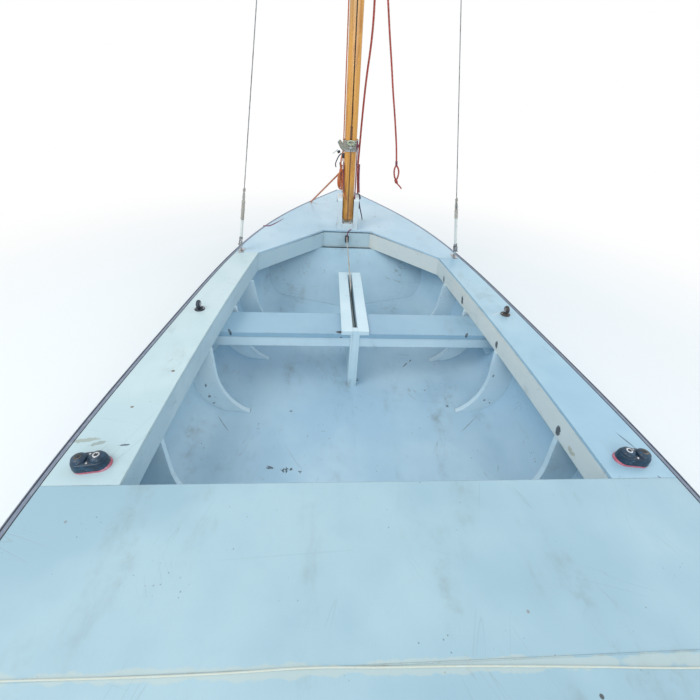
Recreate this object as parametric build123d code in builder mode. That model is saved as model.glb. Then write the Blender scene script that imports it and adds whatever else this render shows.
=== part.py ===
from build123d import *
import math
import os

# Small decked sailing dinghy with a centreboard and a mast in a tabernacle.
# Millimetres. +Y points to the bow, +X to starboard, +Z up.
# The origin is on the centreline, amidships, at the waterline.

# Ends of the hull on the centreline
transom_y = -1650.0
stem_y = 1585.0

# Deck line: flat at the freeboard, then one arc that rises to the bow
freeboard = 340.0
sheer_start_y = 500.0
sheer_end_y = stem_y + 35.0
sheer_rise = 50.0
sheer_radius = ((sheer_end_y - sheer_start_y) ** 2 + sheer_rise**2) / (2 * sheer_rise)
deck_thickness = 9.0

# Hull: each station gives half breadths and heights of one cross section
hull_skin_thickness = 9.0
section_top_z = 470.0
# columns: y, half breadth at deck, bilge corner half breadth, bilge corner z, keel z, bilge radius
station_count = 7
station_spacing = (stem_y - transom_y) / (station_count - 1)
hull_stations = [
    (transom_y, 702.0, 605.0, 62.0, 8.0, 150.0),
    (transom_y + station_spacing, 752.0, 660.0, 24.0, -30.0, 168.0),
    (transom_y + 2 * station_spacing, 733.0, 650.0, 8.0, -50.0, 170.0),
    (transom_y + 3 * station_spacing, 664.0, 588.0, 2.0, -56.0, 170.0),
    (transom_y + 4 * station_spacing, 578.0, 510.0, 8.0, -52.0, 160.0),
    (transom_y + 5 * station_spacing, 402.0, 335.0, 45.0, -28.0, 120.0),
    (stem_y, 36.0, 22.0, 182.0, 120.0, 12.0),
]

# Cutting blocks reach past the hull on every side
half_reach = 1.2 * max(station[1] for station in hull_stations)
cut_high_z = 2.5 * freeboard
cut_low_z = -freeboard
cut_past = 100.0

# Cockpit opening in the deck
opening_aft_y = -745.0
opening_aft_half = 577.0
opening_side_y = -100.0
opening_side_half = 531.0
knuckle_y = 552.0
knuckle_half = 455.0
opening_front_y = 886.0
opening_front_half = 133.0

# Coaming boards that hang under the edge of the opening
coaming_thickness = 12.0
coaming_depth = 91.0
coaming_flare = 14.0

# Deck panels
bow_deck_length = 270.0
stern_deck_length = 568.0
bow_seam_y = stem_y - bow_deck_length
stern_seam_y = transom_y + stern_deck_length
seam_gap = 0.6

# Transom, stem, keel and skeg
transom_thickness = 18.0
stem_width = 40.0
stem_length = 38.0
stem_chamfer = 9.0
stem_knee_share = 0.55
stem_knee_height = 40.0
keel_width = 34.0
keel_depth = 18.0
keel_fore_gap = 85.0
skeg_width = 22.0
skeg_length = 620.0
skeg_heel_depth = 30.0
skeg_toe_rise = 4.0
skeg_aft_gap = 4.0

# Rubbing strips along the deck edge
rub_width = 13.0
rub_height = 30.0

# Bulkheads that close the cockpit
bulkhead_thickness = 9.0
fore_bulkhead_rake_length = 215.0
fore_bulkhead_top_y = 880.0
bulkhead_low_z = -60.0

# Thwart
thwart_top_z = 240.0
thwart_aft_y = 0.0
thwart_length = 155.0
thwart_thickness = 20.0
apron_thickness = 18.0
apron_depth = 46.0
apron_setback = 4.0
knee_thickness = 16.0
knee_top_inner = 516.0
knee_low_inner = 578.0
knee_height = 92.0

# Centreboard trunk
trunk_slot = 20.0
trunk_side_thickness = 9.0
trunk_fore_y = 535.0
trunk_post_length = 26.0
slot_cut_z = 100.0
trunk_cap_width = 46.0
trunk_cap_thickness = 18.0
trunk_cap_rise = 14.0
trunk_cap_overhang = 3.0

# Centreboard and its pivot
board_thickness = 14.0
board_pivot_y = 440.0
board_pivot_z = 38.0
board_nose_radius = 58.0
board_top_z = 205.0
board_aft_gap = 12.0
board_low_z = -42.0
board_nose_cut = 150.0
board_nose_share = 0.6
board_bolt_radius = 5.0
board_bolt_clearance = 0.25
board_bolt_head_radius = 9.0
board_bolt_head = 4.0

# Tabernacle on the foredeck
mast_y = 945.0
mast_width = 61.0
mast_depth = 76.0
cheek_gap = 0.8
cheek_thickness = 27.0
cheek_length = 96.0
cheek_height = 176.0
cheek_round = 22.0
base_height = 34.0
base_length = 104.0
heel_gap = 9.0
pivot_height = 148.0
mast_bolt_radius = 5.0
mast_bolt_clearance = 0.3
mast_bolt_head_radius = 9.0
mast_bolt_head = 5.0
base_bolt_height = 17.0
base_bolt_radius = 4.0
base_bolt_head_radius = 7.5
base_bolt_head = 5.0

# Mast
mast_length = 4650.0
mast_corner = 19.0
mast_taper_start = 3150.0
mast_tip_scale = 0.68
groove_bore_radius = 5.5
groove_slit = 4.5
groove_inset = 11.0
groove_entry_z = 470.0
groove_entry_length = 95.0
groove_entry_width = 13.0
heel_chamfer = 12.0

# Bands on the mast, heights above the deck
boom_band_height = 400.0
boom_band_length = 44.0
band_thickness = 3.0
gooseneck_reach = 22.0
gooseneck_bore_radius = 4.0
gooseneck_width = 16.0
gooseneck_corner = 4.0
gooseneck_thickness = 10.0
gooseneck_seat = 5.0
hounds_height = 3010.0
hounds_length = 60.0
hounds_ear = 16.0
hounds_ear_width = 18.0
hounds_ear_thickness = 4.0
masthead_cap_height = 30.0
masthead_wall = 4.0
masthead_cheek_width = 8.0
masthead_cheek_length = 20.0
masthead_overhang = 5.0

# Standing rigging
wire_radius = 2.0
sleeve_radius = 5.5
sleeve_start = 70.0
sleeve_length = 120.0
fork_length = 34.0
fork_radius = 8.5
fork_tail = 6.0
fork_slot = 9.0
fork_slot_height = 17.0
forestay_sleeve_length = 50.0
end_gap = 0.5
chainplate_y = 572.0
chainplate_edge_gap = 15.7
chainplate_thickness = 3.0
chainplate_width = 20.0
chainplate_pin_height = 34.0
chainplate_pin_radius = 2.5
chainplate_pin_clearance = 0.1
chainplate_foot_length = 58.0
chainplate_foot_width = 24.0
chainplate_foot_thickness = 3.0
chainplate_seat = 2.0

# Stemhead fitting
stemhead_setback = 19.0
stemhead_plate_length = 74.0
stemhead_plate_width = 26.0
stemhead_plate_thickness = 3.0
stemhead_tab_height = 40.0
stemhead_tab_width = 24.0
stemhead_tab_thickness = 4.0
stemhead_bore_radius = 4.0
stemhead_bore_height = 22.0

# Deck hardware
cleat_x = 660.0
cleat_y = -692.0
cleat_turn = 8.0
cleat_length = 82.0
cleat_width = 44.0
wedge_height = 12.0
cleat_base_height = 9.0
cleat_base_margin = 2.0
cam_radius = 15.0
cam_height = 15.0
cam_spacing = 38.0
lead_x = 598.0
lead_y = 8.0
lead_base_radius = 19.0
lead_base_height = 6.0
lead_ring_radius = 17.0
lead_bore_radius = 7.0
lead_seat = 3.0
lead_thickness = 14.0
clam_x = 0.0
clam_width = 22.0
clam_height = 40.0
clam_depth = 16.0
clam_drop = 14.0
clam_groove = 6.0
clam_seat = 2.0

# Line that hangs from an eye on the mast, and the loop in its end
eye_height = 1572.0
eye_plate_length = 50.0
eye_plate_width = 24.0
eye_plate_thickness = 3.0
eye_lug_reach = 17.0
eye_lug_width = 14.0
eye_lug_height = 8.0
line_diameter = 9.0
line_route = [
    (42.0, 948.0, 1918.0),
    (43.0, 948.5, 1862.0),
    (51.0, 950.0, 1786.0),
    (66.0, 952.0, 1694.0),
    (85.0, 955.0, 1598.0),
    (103.0, 957.0, 1506.0),
    (119.0, 958.5, 1420.0),
    (137.5, 960.0, 1326.0),
    (156.0, 961.0, 1222.0),
    (177.0, 961.5, 1118.0),
    (196.0, 961.0, 1012.0),
    (215.0, 960.0, 922.0),
    (232.5, 959.0, 830.0),
    (245.0, 959.0, 758.0),
    (252.0, 960.0, 700.0),
]
neck_length = 24.0
neck_radius = 6.5
line_end_y = line_route[-1][1]
loop_outline = [(253.0, 688.0), (271.0, 660.0), (270.0, 628.0), (261.0, 606.0), (248.0, 630.0), (243.5, 662.0)]
loop_turn = 9.0
knot_radius = 10.0
knot_start = (257.0, 614.0)
knot_end = (267.0, 592.0)
tail_end = (301.0, 559.0)

# Rudder gudgeons on the transom
gudgeon_heights = [90.0, 265.0]
gudgeon_reach = 24.0
gudgeon_width = 22.0
gudgeon_thickness = 12.0
gudgeon_bore_radius = 4.2
gudgeon_plate_width = 54.0
gudgeon_plate_thickness = 3.0

# Ribs under the side decks: y where the rib meets the deck, rake, inner bilge half breadth
# columns: name, y at deck, lean aft over the depth, inner half breadth at deck, at the bilge
ribs = [
    ("frame_fore", 470.0, 60.0, 488.0, 440.0),
    ("frame_thwart", 232.0, 90.0, 524.0, 478.0),
    ("frame_middle", -70.0, 130.0, 552.0, 520.0),
    ("frame_aft", -500.0, 110.0, 590.0, 552.0),
]
rib_thickness = 20.0
rib_corner_z = 0.0
rib_bilge_radius = 190.0
rib_keel_z = -60.0
rib_floor_z = -70.0


def sheer_height(y):
    """Height of the deck top at a place along the boat."""
    run = max(0.0, y - sheer_start_y)
    return freeboard + sheer_radius - math.sqrt(sheer_radius**2 - run**2)


def deck_half(y):
    """Half breadth of the deck at a place along the boat, between two stations."""
    for aft, fore in zip(hull_stations, hull_stations[1:]):
        if aft[0] <= y <= fore[0]:
            share = (y - aft[0]) / (fore[0] - aft[0])
            return aft[1] + share * (fore[1] - aft[1])
    return 0.0


def sheer_slab(upper, lower):
    """Everything between two surfaces that follow the deck line across the boat."""
    aft_y = transom_y - 2 * cut_past
    fore_y = sheer_end_y + 2 * cut_past
    middle_y = (sheer_start_y + fore_y) / 2
    with BuildPart() as slab:
        with BuildSketch(Plane.YZ):
            with BuildLine():
                Line((aft_y, freeboard + upper), (sheer_start_y, freeboard + upper))
                ThreePointArc(
                    (sheer_start_y, freeboard + upper),
                    (middle_y, sheer_height(middle_y) + upper),
                    (fore_y, sheer_height(fore_y) + upper),
                )
                Line((fore_y, sheer_height(fore_y) + upper), (fore_y, sheer_height(fore_y) + lower))
                ThreePointArc(
                    (fore_y, sheer_height(fore_y) + lower),
                    (middle_y, sheer_height(middle_y) + lower),
                    (sheer_start_y, freeboard + lower),
                )
                Line((sheer_start_y, freeboard + lower), (aft_y, freeboard + lower))
                Line((aft_y, freeboard + lower), (aft_y, freeboard + upper))
            make_face()
        extrude(amount=half_reach, both=True)
    return slab.part


def hull_body(inset):
    """Solid of the hull form, drawn inwards by the inset, up to above the deck."""
    with BuildPart() as body:
        for y, deck_half, bilge_half, bilge_z, keel_z, bilge_radius in hull_stations:
            flare = (deck_half - bilge_half) / (sheer_height(y) - bilge_z)
            top_half = deck_half + flare * (section_top_z - sheer_height(y))
            corners = [
                (-(top_half - inset), section_top_z),
                (-(bilge_half - inset), bilge_z + inset),
                (0, keel_z + inset),
                (bilge_half - inset, bilge_z + inset),
                (top_half - inset, section_top_z),
            ]
            turn = max(bilge_radius - inset, 3.0)
            with BuildSketch(Plane.XZ.offset(-y)):
                with BuildLine():
                    FilletPolyline(*corners, radius=[0, turn, 0, turn, 0], close=True)
                make_face()
        loft()
    return body.part


hull_form = hull_body(0)
hull_inside = hull_body(hull_skin_thickness)
below_deck = sheer_slab(-deck_thickness, -2 * freeboard)
below_top = sheer_slab(0, -2 * freeboard)
deck_layer = sheer_slab(0, -deck_thickness)


def block(x0, x1, y0, y1, z0, z1):
    """Plain box between two corners, for use with a mode of its own."""
    centre = Pos((x0 + x1) / 2, (y0 + y1) / 2, (z0 + z1) / 2)
    return centre * Box(x1 - x0, y1 - y0, z1 - z0, mode=Mode.PRIVATE)


def opening_outline(grow):
    """Edges of the cockpit opening, set outwards by a distance."""
    with BuildSketch(Plane.XY) as outline:
        with BuildLine():
            Line((-opening_aft_half, opening_aft_y), (opening_aft_half, opening_aft_y))
            ThreePointArc(
                (opening_aft_half, opening_aft_y),
                (opening_side_half, opening_side_y),
                (knuckle_half, knuckle_y),
            )
            Line((knuckle_half, knuckle_y), (opening_front_half, opening_front_y))
            Line((opening_front_half, opening_front_y), (-opening_front_half, opening_front_y))
            Line((-opening_front_half, opening_front_y), (-knuckle_half, knuckle_y))
            ThreePointArc(
                (-knuckle_half, knuckle_y),
                (-opening_side_half, opening_side_y),
                (-opening_aft_half, opening_aft_y),
            )
        make_face()
        if grow:
            offset(amount=grow, kind=Kind.INTERSECTION)
    return outline.sketch


def finish(piece, label):
    """Name a finished piece and write it to its own file."""
    piece.label = label
    export_step(piece, f"parts/{label}.step")


os.makedirs("parts", exist_ok=True)

# Hull skin, open above and at both ends, with the slot for the centreboard
with BuildPart() as hull_skin:
    add(hull_form)
    add(hull_inside, mode=Mode.SUBTRACT)
    add(below_deck, mode=Mode.INTERSECT)
    add(
        block(-half_reach, half_reach, transom_y - cut_past, transom_y + transom_thickness,
              cut_low_z, cut_high_z),
        mode=Mode.SUBTRACT,
    )
    add(
        block(-trunk_slot / 2, trunk_slot / 2, thwart_aft_y + trunk_post_length,
              trunk_fore_y - trunk_post_length, cut_low_z, slot_cut_z),
        mode=Mode.SUBTRACT,
    )
finish(hull_skin.part, "hull_skin")

# Transom board across the stern
with BuildPart() as transom:
    add(hull_form)
    add(below_deck, mode=Mode.INTERSECT)
    add(
        block(-half_reach, half_reach, transom_y, transom_y + transom_thickness, cut_low_z, cut_high_z),
        mode=Mode.INTERSECT,
    )
finish(transom.part, "transom")

# Stem post that closes the bow
with BuildPart() as stem_post:
    stem_keel_z = hull_stations[-1][4]
    stem_head_z = sheer_height(stem_y + stem_length) + stem_width / 2
    with BuildSketch(Plane.YZ):
        with BuildLine():
            Polyline(
                (stem_y, stem_keel_z - keel_depth),
                (stem_y + stem_length * stem_knee_share, stem_keel_z + stem_knee_height),
                (stem_y + stem_length, stem_head_z),
                (stem_y, stem_head_z),
                close=True,
            )
        make_face()
    extrude(amount=stem_width / 2, both=True)
    add(below_top, mode=Mode.INTERSECT)
    chamfer(
        stem_post.edges().filter_by(
            lambda e: e.center().Y > stem_y + stem_chamfer / 2 and abs(e.center().X) > stem_chamfer
        ),
        length=stem_chamfer,
    )
finish(stem_post.part, "stem_post")

# Keel strip under the hull, slotted for the centreboard
with BuildPart() as keel_strip:
    add(hull_body(-keel_depth))
    add(
        block(-keel_width / 2, keel_width / 2, transom_y, stem_y - keel_fore_gap, cut_low_z, freeboard),
        mode=Mode.INTERSECT,
    )
    add(hull_form, mode=Mode.SUBTRACT)
    add(
        block(-trunk_slot / 2, trunk_slot / 2, thwart_aft_y + trunk_post_length,
              trunk_fore_y - trunk_post_length, cut_low_z, slot_cut_z),
        mode=Mode.SUBTRACT,
    )
finish(keel_strip.part, "keel_strip")

# Skeg below the run of the hull
with BuildPart() as skeg:
    skeg_keel_z = hull_stations[1][4] - keel_depth
    with BuildSketch(Plane.YZ):
        with BuildLine():
            Polyline(
                (transom_y + skeg_aft_gap, skeg_keel_z - skeg_heel_depth),
                (transom_y + skeg_length, skeg_keel_z + skeg_toe_rise),
                (transom_y + skeg_length, freeboard / 2),
                (transom_y + skeg_aft_gap, freeboard / 2),
                close=True,
            )
        make_face()
    extrude(amount=skeg_width / 2, both=True)
    add(hull_form, mode=Mode.SUBTRACT)
    add(keel_strip.part, mode=Mode.SUBTRACT)
finish(skeg.part, "skeg")

# Deck panels, cut from one layer that follows the hull
opening_cut = extrude(
    Plane.XY * opening_outline(0), amount=cut_high_z, mode=Mode.PRIVATE
)
with BuildPart() as deck_blank:
    add(hull_form)
    add(deck_layer, mode=Mode.INTERSECT)
    add(opening_cut, mode=Mode.SUBTRACT)

# columns: name, port x, starboard x, aft y, fore y
half_seam = seam_gap / 2
deck_panels = [
    ("bow_deck", -half_reach, half_reach, bow_seam_y + half_seam, stem_y),
    ("foredeck", -half_reach, half_reach, knuckle_y, bow_seam_y - half_seam),
    ("side_deck_port", -half_reach, 0, opening_aft_y, knuckle_y),
    ("side_deck_starboard", 0, half_reach, opening_aft_y, knuckle_y),
    ("aft_deck", -half_reach, half_reach, stern_seam_y + half_seam, opening_aft_y),
    ("stern_deck", -half_reach, half_reach, transom_y, stern_seam_y - half_seam),
]
for name, x0, x1, y0, y1 in deck_panels:
    with BuildPart() as deck_panel:
        add(deck_blank.part)
        add(block(x0, x1, y0, y1, 0, cut_high_z), mode=Mode.INTERSECT)
    finish(deck_panel.part, name)

# Coaming boards, one flared ring cut at its corners
coaming_top_z = freeboard - deck_thickness
with BuildPart() as coaming_outer:
    with BuildSketch(Plane.XY.offset(coaming_top_z)):
        add(opening_outline(coaming_thickness))
    with BuildSketch(Plane.XY.offset(coaming_top_z - coaming_depth)):
        add(opening_outline(coaming_thickness + coaming_flare))
    loft(ruled=True)
with BuildPart() as coaming_inner:
    with BuildSketch(Plane.XY.offset(coaming_top_z)):
        add(opening_outline(0))
    with BuildSketch(Plane.XY.offset(coaming_top_z - coaming_depth)):
        add(opening_outline(coaming_flare))
    loft(ruled=True)
with BuildPart() as coaming_ring:
    add(coaming_outer.part)
    add(coaming_inner.part, mode=Mode.SUBTRACT)

# columns: name, port x, starboard x, aft y, fore y
coaming_end_y = opening_front_y + cut_past
coaming_boards = [
    ("coaming_front", -opening_front_half, opening_front_half, knuckle_y, coaming_end_y),
    ("coaming_corner_port", -half_reach, -opening_front_half, knuckle_y, coaming_end_y),
    ("coaming_corner_starboard", opening_front_half, half_reach, knuckle_y, coaming_end_y),
    ("coaming_side_port", -half_reach, 0, opening_aft_y, knuckle_y),
    ("coaming_side_starboard", 0, half_reach, opening_aft_y, knuckle_y),
    ("coaming_aft", -half_reach, half_reach, opening_aft_y - cut_past, opening_aft_y),
]
for name, x0, x1, y0, y1 in coaming_boards:
    with BuildPart() as coaming_board:
        add(coaming_ring.part)
        add(block(x0, x1, y0, y1, 0, cut_high_z), mode=Mode.INTERSECT)
    finish(coaming_board.part, name)

# Raked bulkhead at the fore end of the cockpit
fore_top_z = coaming_top_z - coaming_depth
with BuildPart() as fore_bulkhead:
    with BuildSketch(Plane.YZ):
        with BuildLine():
            Polyline(
                (fore_bulkhead_top_y, fore_top_z),
                (fore_bulkhead_top_y + bulkhead_thickness, fore_top_z),
                (fore_bulkhead_top_y + bulkhead_thickness - fore_bulkhead_rake_length, bulkhead_low_z),
                (fore_bulkhead_top_y - fore_bulkhead_rake_length, bulkhead_low_z),
                close=True,
            )
        make_face()
    extrude(amount=half_reach, both=True)
    add(hull_inside, mode=Mode.INTERSECT)
finish(fore_bulkhead.part, "fore_bulkhead")

# Upright bulkhead behind the aft coaming board
aft_bulkhead_y = opening_aft_y - coaming_thickness - coaming_flare
with BuildPart() as aft_bulkhead:
    add(hull_inside)
    add(below_deck, mode=Mode.INTERSECT)
    add(
        block(-half_reach, half_reach, aft_bulkhead_y - bulkhead_thickness, aft_bulkhead_y,
              cut_low_z, cut_high_z),
        mode=Mode.INTERSECT,
    )
finish(aft_bulkhead.part, "aft_bulkhead")

# Ribs that run from the side deck down the hull side and fade into the floor
for name, deck_y, lean, deck_inner, bilge_inner in ribs:
    with BuildPart() as rib:
        with BuildSketch(Plane.YZ):
            with BuildLine():
                Polyline(
                    (deck_y - rib_thickness, coaming_top_z),
                    (deck_y, coaming_top_z),
                    (deck_y - lean, rib_floor_z),
                    (deck_y - lean - rib_thickness, rib_floor_z),
                    close=True,
                )
            make_face()
        extrude(amount=half_reach, both=True)
        add(hull_inside, mode=Mode.INTERSECT)
        with BuildSketch(Plane.XZ.offset(-(deck_y + cut_past))):
            with BuildLine():
                FilletPolyline(
                    (-deck_inner, freeboard),
                    (-bilge_inner, rib_corner_z),
                    (0, rib_keel_z),
                    (bilge_inner, rib_corner_z),
                    (deck_inner, freeboard),
                    radius=[0, rib_bilge_radius, 0, rib_bilge_radius, 0],
                    close=True,
                )
            make_face()
        extrude(amount=3 * cut_past + lean, mode=Mode.SUBTRACT)
        add(coaming_outer.part, mode=Mode.SUBTRACT)
    finish(rib.part, name)

# Thwart across the cockpit, notched over the trunk
thwart_under_z = thwart_top_z - thwart_thickness
trunk_half = trunk_slot / 2 + trunk_side_thickness
with BuildPart() as thwart:
    add(hull_inside)
    add(
        block(-half_reach, half_reach, thwart_aft_y, thwart_aft_y + thwart_length,
              thwart_under_z, thwart_top_z),
        mode=Mode.INTERSECT,
    )
    add(
        block(-trunk_half, trunk_half, thwart_aft_y, thwart_aft_y + thwart_length, 0, cut_high_z),
        mode=Mode.SUBTRACT,
    )
finish(thwart.part, "thwart")

with BuildPart() as thwart_apron:
    add(hull_inside)
    add(
        block(-half_reach, half_reach, thwart_aft_y + apron_setback,
              thwart_aft_y + apron_setback + apron_thickness,
              thwart_under_z - apron_depth, thwart_under_z),
        mode=Mode.INTERSECT,
    )
    add(
        block(-trunk_half, trunk_half, thwart_aft_y, thwart_aft_y + thwart_length, 0, cut_high_z),
        mode=Mode.SUBTRACT,
    )
finish(thwart_apron.part, "thwart_apron")

# Knees under the thwart ends, one on each side of the hull
knee_y = thwart_aft_y + apron_setback + apron_thickness
with BuildPart() as thwart_knees:
    add(hull_inside)
    add(
        block(-half_reach, half_reach, knee_y, knee_y + knee_thickness,
              thwart_under_z - knee_height, thwart_under_z),
        mode=Mode.INTERSECT,
    )
    with BuildSketch(Plane.XZ.offset(-(knee_y + knee_thickness))):
        with BuildLine():
            Polyline(
                (-knee_top_inner, thwart_under_z),
                (-knee_low_inner, thwart_under_z - knee_height),
                (knee_low_inner, thwart_under_z - knee_height),
                (knee_top_inner, thwart_under_z),
                close=True,
            )
        make_face()
    extrude(amount=knee_thickness, mode=Mode.SUBTRACT)
finish(thwart_knees.part, "thwart_knees")

# Trunk sides, posts and caps around the centreboard
trunk_cap_top_z = thwart_top_z + trunk_cap_rise
trunk_side_top_z = trunk_cap_top_z - trunk_cap_thickness
for name, side in (("trunk_side_port", -1), ("trunk_side_starboard", 1)):
    x_inner = side * trunk_slot / 2
    x_outer = side * trunk_half
    with BuildPart() as trunk_side:
        add(hull_inside)
        add(
            block(min(x_inner, x_outer), max(x_inner, x_outer), thwart_aft_y, trunk_fore_y,
                  cut_low_z, trunk_side_top_z),
            mode=Mode.INTERSECT,
        )
        with BuildSketch(Plane.YZ.offset(-trunk_half)):
            with Locations((board_pivot_y, board_pivot_z)):
                Circle(board_bolt_radius)
        extrude(amount=2 * trunk_half, mode=Mode.SUBTRACT)
    finish(trunk_side.part, name)

for name, y0 in (("trunk_post_aft", thwart_aft_y), ("trunk_post_fore", trunk_fore_y - trunk_post_length)):
    with BuildPart() as trunk_post:
        add(hull_inside)
        add(
            block(-trunk_slot / 2, trunk_slot / 2, y0, y0 + trunk_post_length,
                  cut_low_z, trunk_cap_top_z),
            mode=Mode.INTERSECT,
        )
    finish(trunk_post.part, name)

for name, side in (("trunk_cap_port", -1), ("trunk_cap_starboard", 1)):
    x_inner = side * trunk_slot / 2
    x_outer = side * (trunk_slot / 2 + trunk_cap_width)
    with BuildPart() as trunk_cap:
        add(
            block(min(x_inner, x_outer), max(x_inner, x_outer), thwart_aft_y - trunk_cap_overhang,
                  trunk_fore_y, trunk_side_top_z, trunk_cap_top_z)
        )
        add(thwart.part, mode=Mode.SUBTRACT)
    finish(trunk_cap.part, name)

# Centreboard, raised in its trunk
board_half = board_thickness / 2
board_reach = board_pivot_y - (thwart_aft_y + trunk_post_length + board_aft_gap)


def board_tip(z):
    """Place along the boat where the tip arc of the centreboard has a height."""
    return board_pivot_y - math.sqrt(board_reach**2 - (z - board_pivot_z) ** 2)


with BuildPart() as centreboard:
    with BuildSketch(Plane.YZ):
        with BuildLine():
            ThreePointArc(
                (board_tip(board_top_z), board_top_z),
                (board_pivot_y - board_reach, board_pivot_z),
                (board_tip(board_low_z), board_low_z),
            )
            Polyline(
                (board_tip(board_low_z), board_low_z),
                (board_pivot_y - board_nose_cut, board_low_z),
                (board_pivot_y, board_pivot_z - board_nose_radius + 1),
                (board_pivot_y + board_nose_radius * board_nose_share, board_pivot_z),
                (board_pivot_y + board_nose_radius * board_nose_share, board_top_z),
                (board_tip(board_top_z), board_top_z),
            )
        make_face()
        with Locations((board_pivot_y, board_pivot_z)):
            Circle(board_nose_radius)
    extrude(amount=board_half, both=True)
    with BuildSketch(Plane.YZ.offset(-board_half)):
        with Locations((board_pivot_y, board_pivot_z)):
            Circle(board_bolt_radius + board_bolt_clearance)
    extrude(amount=board_thickness, mode=Mode.SUBTRACT)
finish(centreboard.part, "centreboard")

# Pivot bolt through both trunk sides
with BuildPart() as centreboard_bolt:
    with BuildSketch(Plane.YZ.offset(-trunk_half - board_bolt_head)):
        with Locations((board_pivot_y, board_pivot_z)):
            Circle(board_bolt_head_radius)
    extrude(amount=board_bolt_head)
    with BuildSketch(Plane.YZ.offset(-trunk_half)):
        with Locations((board_pivot_y, board_pivot_z)):
            Circle(board_bolt_radius)
    extrude(amount=2 * trunk_half)
    with BuildSketch(Plane.YZ.offset(trunk_half)):
        with Locations((board_pivot_y, board_pivot_z)):
            Circle(board_bolt_head_radius)
    extrude(amount=board_bolt_head)
finish(centreboard_bolt.part, "centreboard_bolt")

# Tabernacle: a base block between two cheeks that stand on the foredeck
deck_at_mast = sheer_height(mast_y)
inner_half = mast_width / 2 + cheek_gap
outer_half = inner_half + cheek_thickness
pivot_z = deck_at_mast + pivot_height
with BuildPart() as tabernacle_base:
    add(
        block(-inner_half, inner_half, mast_y - base_length / 2, mast_y + base_length / 2,
              deck_at_mast - deck_thickness, deck_at_mast + base_height)
    )
    add(below_top, mode=Mode.SUBTRACT)
    with BuildSketch(Plane.YZ.offset(-outer_half)):
        with Locations((mast_y, deck_at_mast + base_bolt_height)):
            Circle(base_bolt_radius)
    extrude(amount=2 * outer_half, mode=Mode.SUBTRACT)
finish(tabernacle_base.part, "tabernacle_base")

with BuildPart() as tabernacle_cheeks:
    for side in (-1, 1):
        add(
            block(min(side * inner_half, side * outer_half), max(side * inner_half, side * outer_half),
                  mast_y - cheek_length / 2, mast_y + cheek_length / 2,
                  deck_at_mast - deck_thickness, deck_at_mast + cheek_height)
        )
    fillet(
        tabernacle_cheeks.edges().filter_by(Axis.X).group_by(Axis.Z)[-1],
        radius=cheek_round,
    )
    add(below_top, mode=Mode.SUBTRACT)
    with BuildSketch(Plane.YZ.offset(-outer_half)):
        with Locations((mast_y, deck_at_mast + base_bolt_height)):
            Circle(base_bolt_radius)
        with Locations((mast_y, pivot_z)):
            Circle(mast_bolt_radius)
    extrude(amount=2 * outer_half, mode=Mode.SUBTRACT)
finish(tabernacle_cheeks.part, "tabernacle_cheeks")

# columns: name, height above the deck, shank radius, head radius, head thickness
tabernacle_bolts = [
    ("tabernacle_bolt", base_bolt_height, base_bolt_radius, base_bolt_head_radius, base_bolt_head),
    ("mast_bolt", pivot_height, mast_bolt_radius, mast_bolt_head_radius, mast_bolt_head),
]
for name, height, shank, head_radius, head in tabernacle_bolts:
    with BuildPart() as bolt:
        for start, length, radius in (
            (-outer_half - head, head, head_radius),
            (-outer_half, 2 * outer_half, shank),
            (outer_half, head, head_radius),
        ):
            with BuildSketch(Plane.YZ.offset(start)):
                with Locations((mast_y, deck_at_mast + height)):
                    Circle(radius)
            extrude(amount=length)
    finish(bolt.part, name)

# Mast: a rounded section with a luff groove that faces aft
heel_z = deck_at_mast + base_height + heel_gap
mast_top_z = heel_z + mast_length


def mast_section(scale):
    """Rounded outline of the mast with its aft face on one fixed line."""
    depth = mast_depth * scale
    aft_face = mast_y - mast_depth / 2
    with BuildSketch(Plane.XY) as section:
        with Locations((0, aft_face + depth / 2)):
            RectangleRounded(mast_width * scale, depth, mast_corner * scale)
    return section.sketch


groove_y = mast_y - mast_depth / 2 + groove_inset
with BuildPart() as mast:
    with BuildSketch(Plane.XY.offset(heel_z)):
        add(mast_section(1.0))
    extrude(amount=mast_taper_start)
    with BuildSketch(Plane.XY.offset(heel_z + mast_taper_start)):
        add(mast_section(1.0))
    with BuildSketch(Plane.XY.offset(mast_top_z)):
        add(mast_section(mast_tip_scale))
    loft(ruled=True)
    chamfer(
        mast.faces().sort_by(Axis.Z)[0].edges().filter_by(Axis.X),
        length=heel_chamfer,
    )
    with BuildSketch(Plane.XY.offset(heel_z + groove_entry_z)):
        with Locations((0, groove_y)):
            Circle(groove_bore_radius)
        with Locations((0, groove_y - groove_inset)):
            Rectangle(groove_slit, 2 * groove_inset)
    extrude(amount=mast_length, mode=Mode.SUBTRACT)
    with BuildSketch(Plane.XY.offset(heel_z + groove_entry_z - groove_entry_length)):
        with Locations((0, groove_y - groove_inset / 2)):
            Rectangle(groove_entry_width, 2 * groove_inset + groove_bore_radius)
    extrude(amount=groove_entry_length, mode=Mode.SUBTRACT)
    with BuildSketch(Plane.YZ.offset(-mast_width)):
        with Locations((mast_y, pivot_z)):
            Circle(mast_bolt_radius + mast_bolt_clearance)
    extrude(amount=2 * mast_width, mode=Mode.SUBTRACT)
finish(mast.part, "mast")

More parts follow.
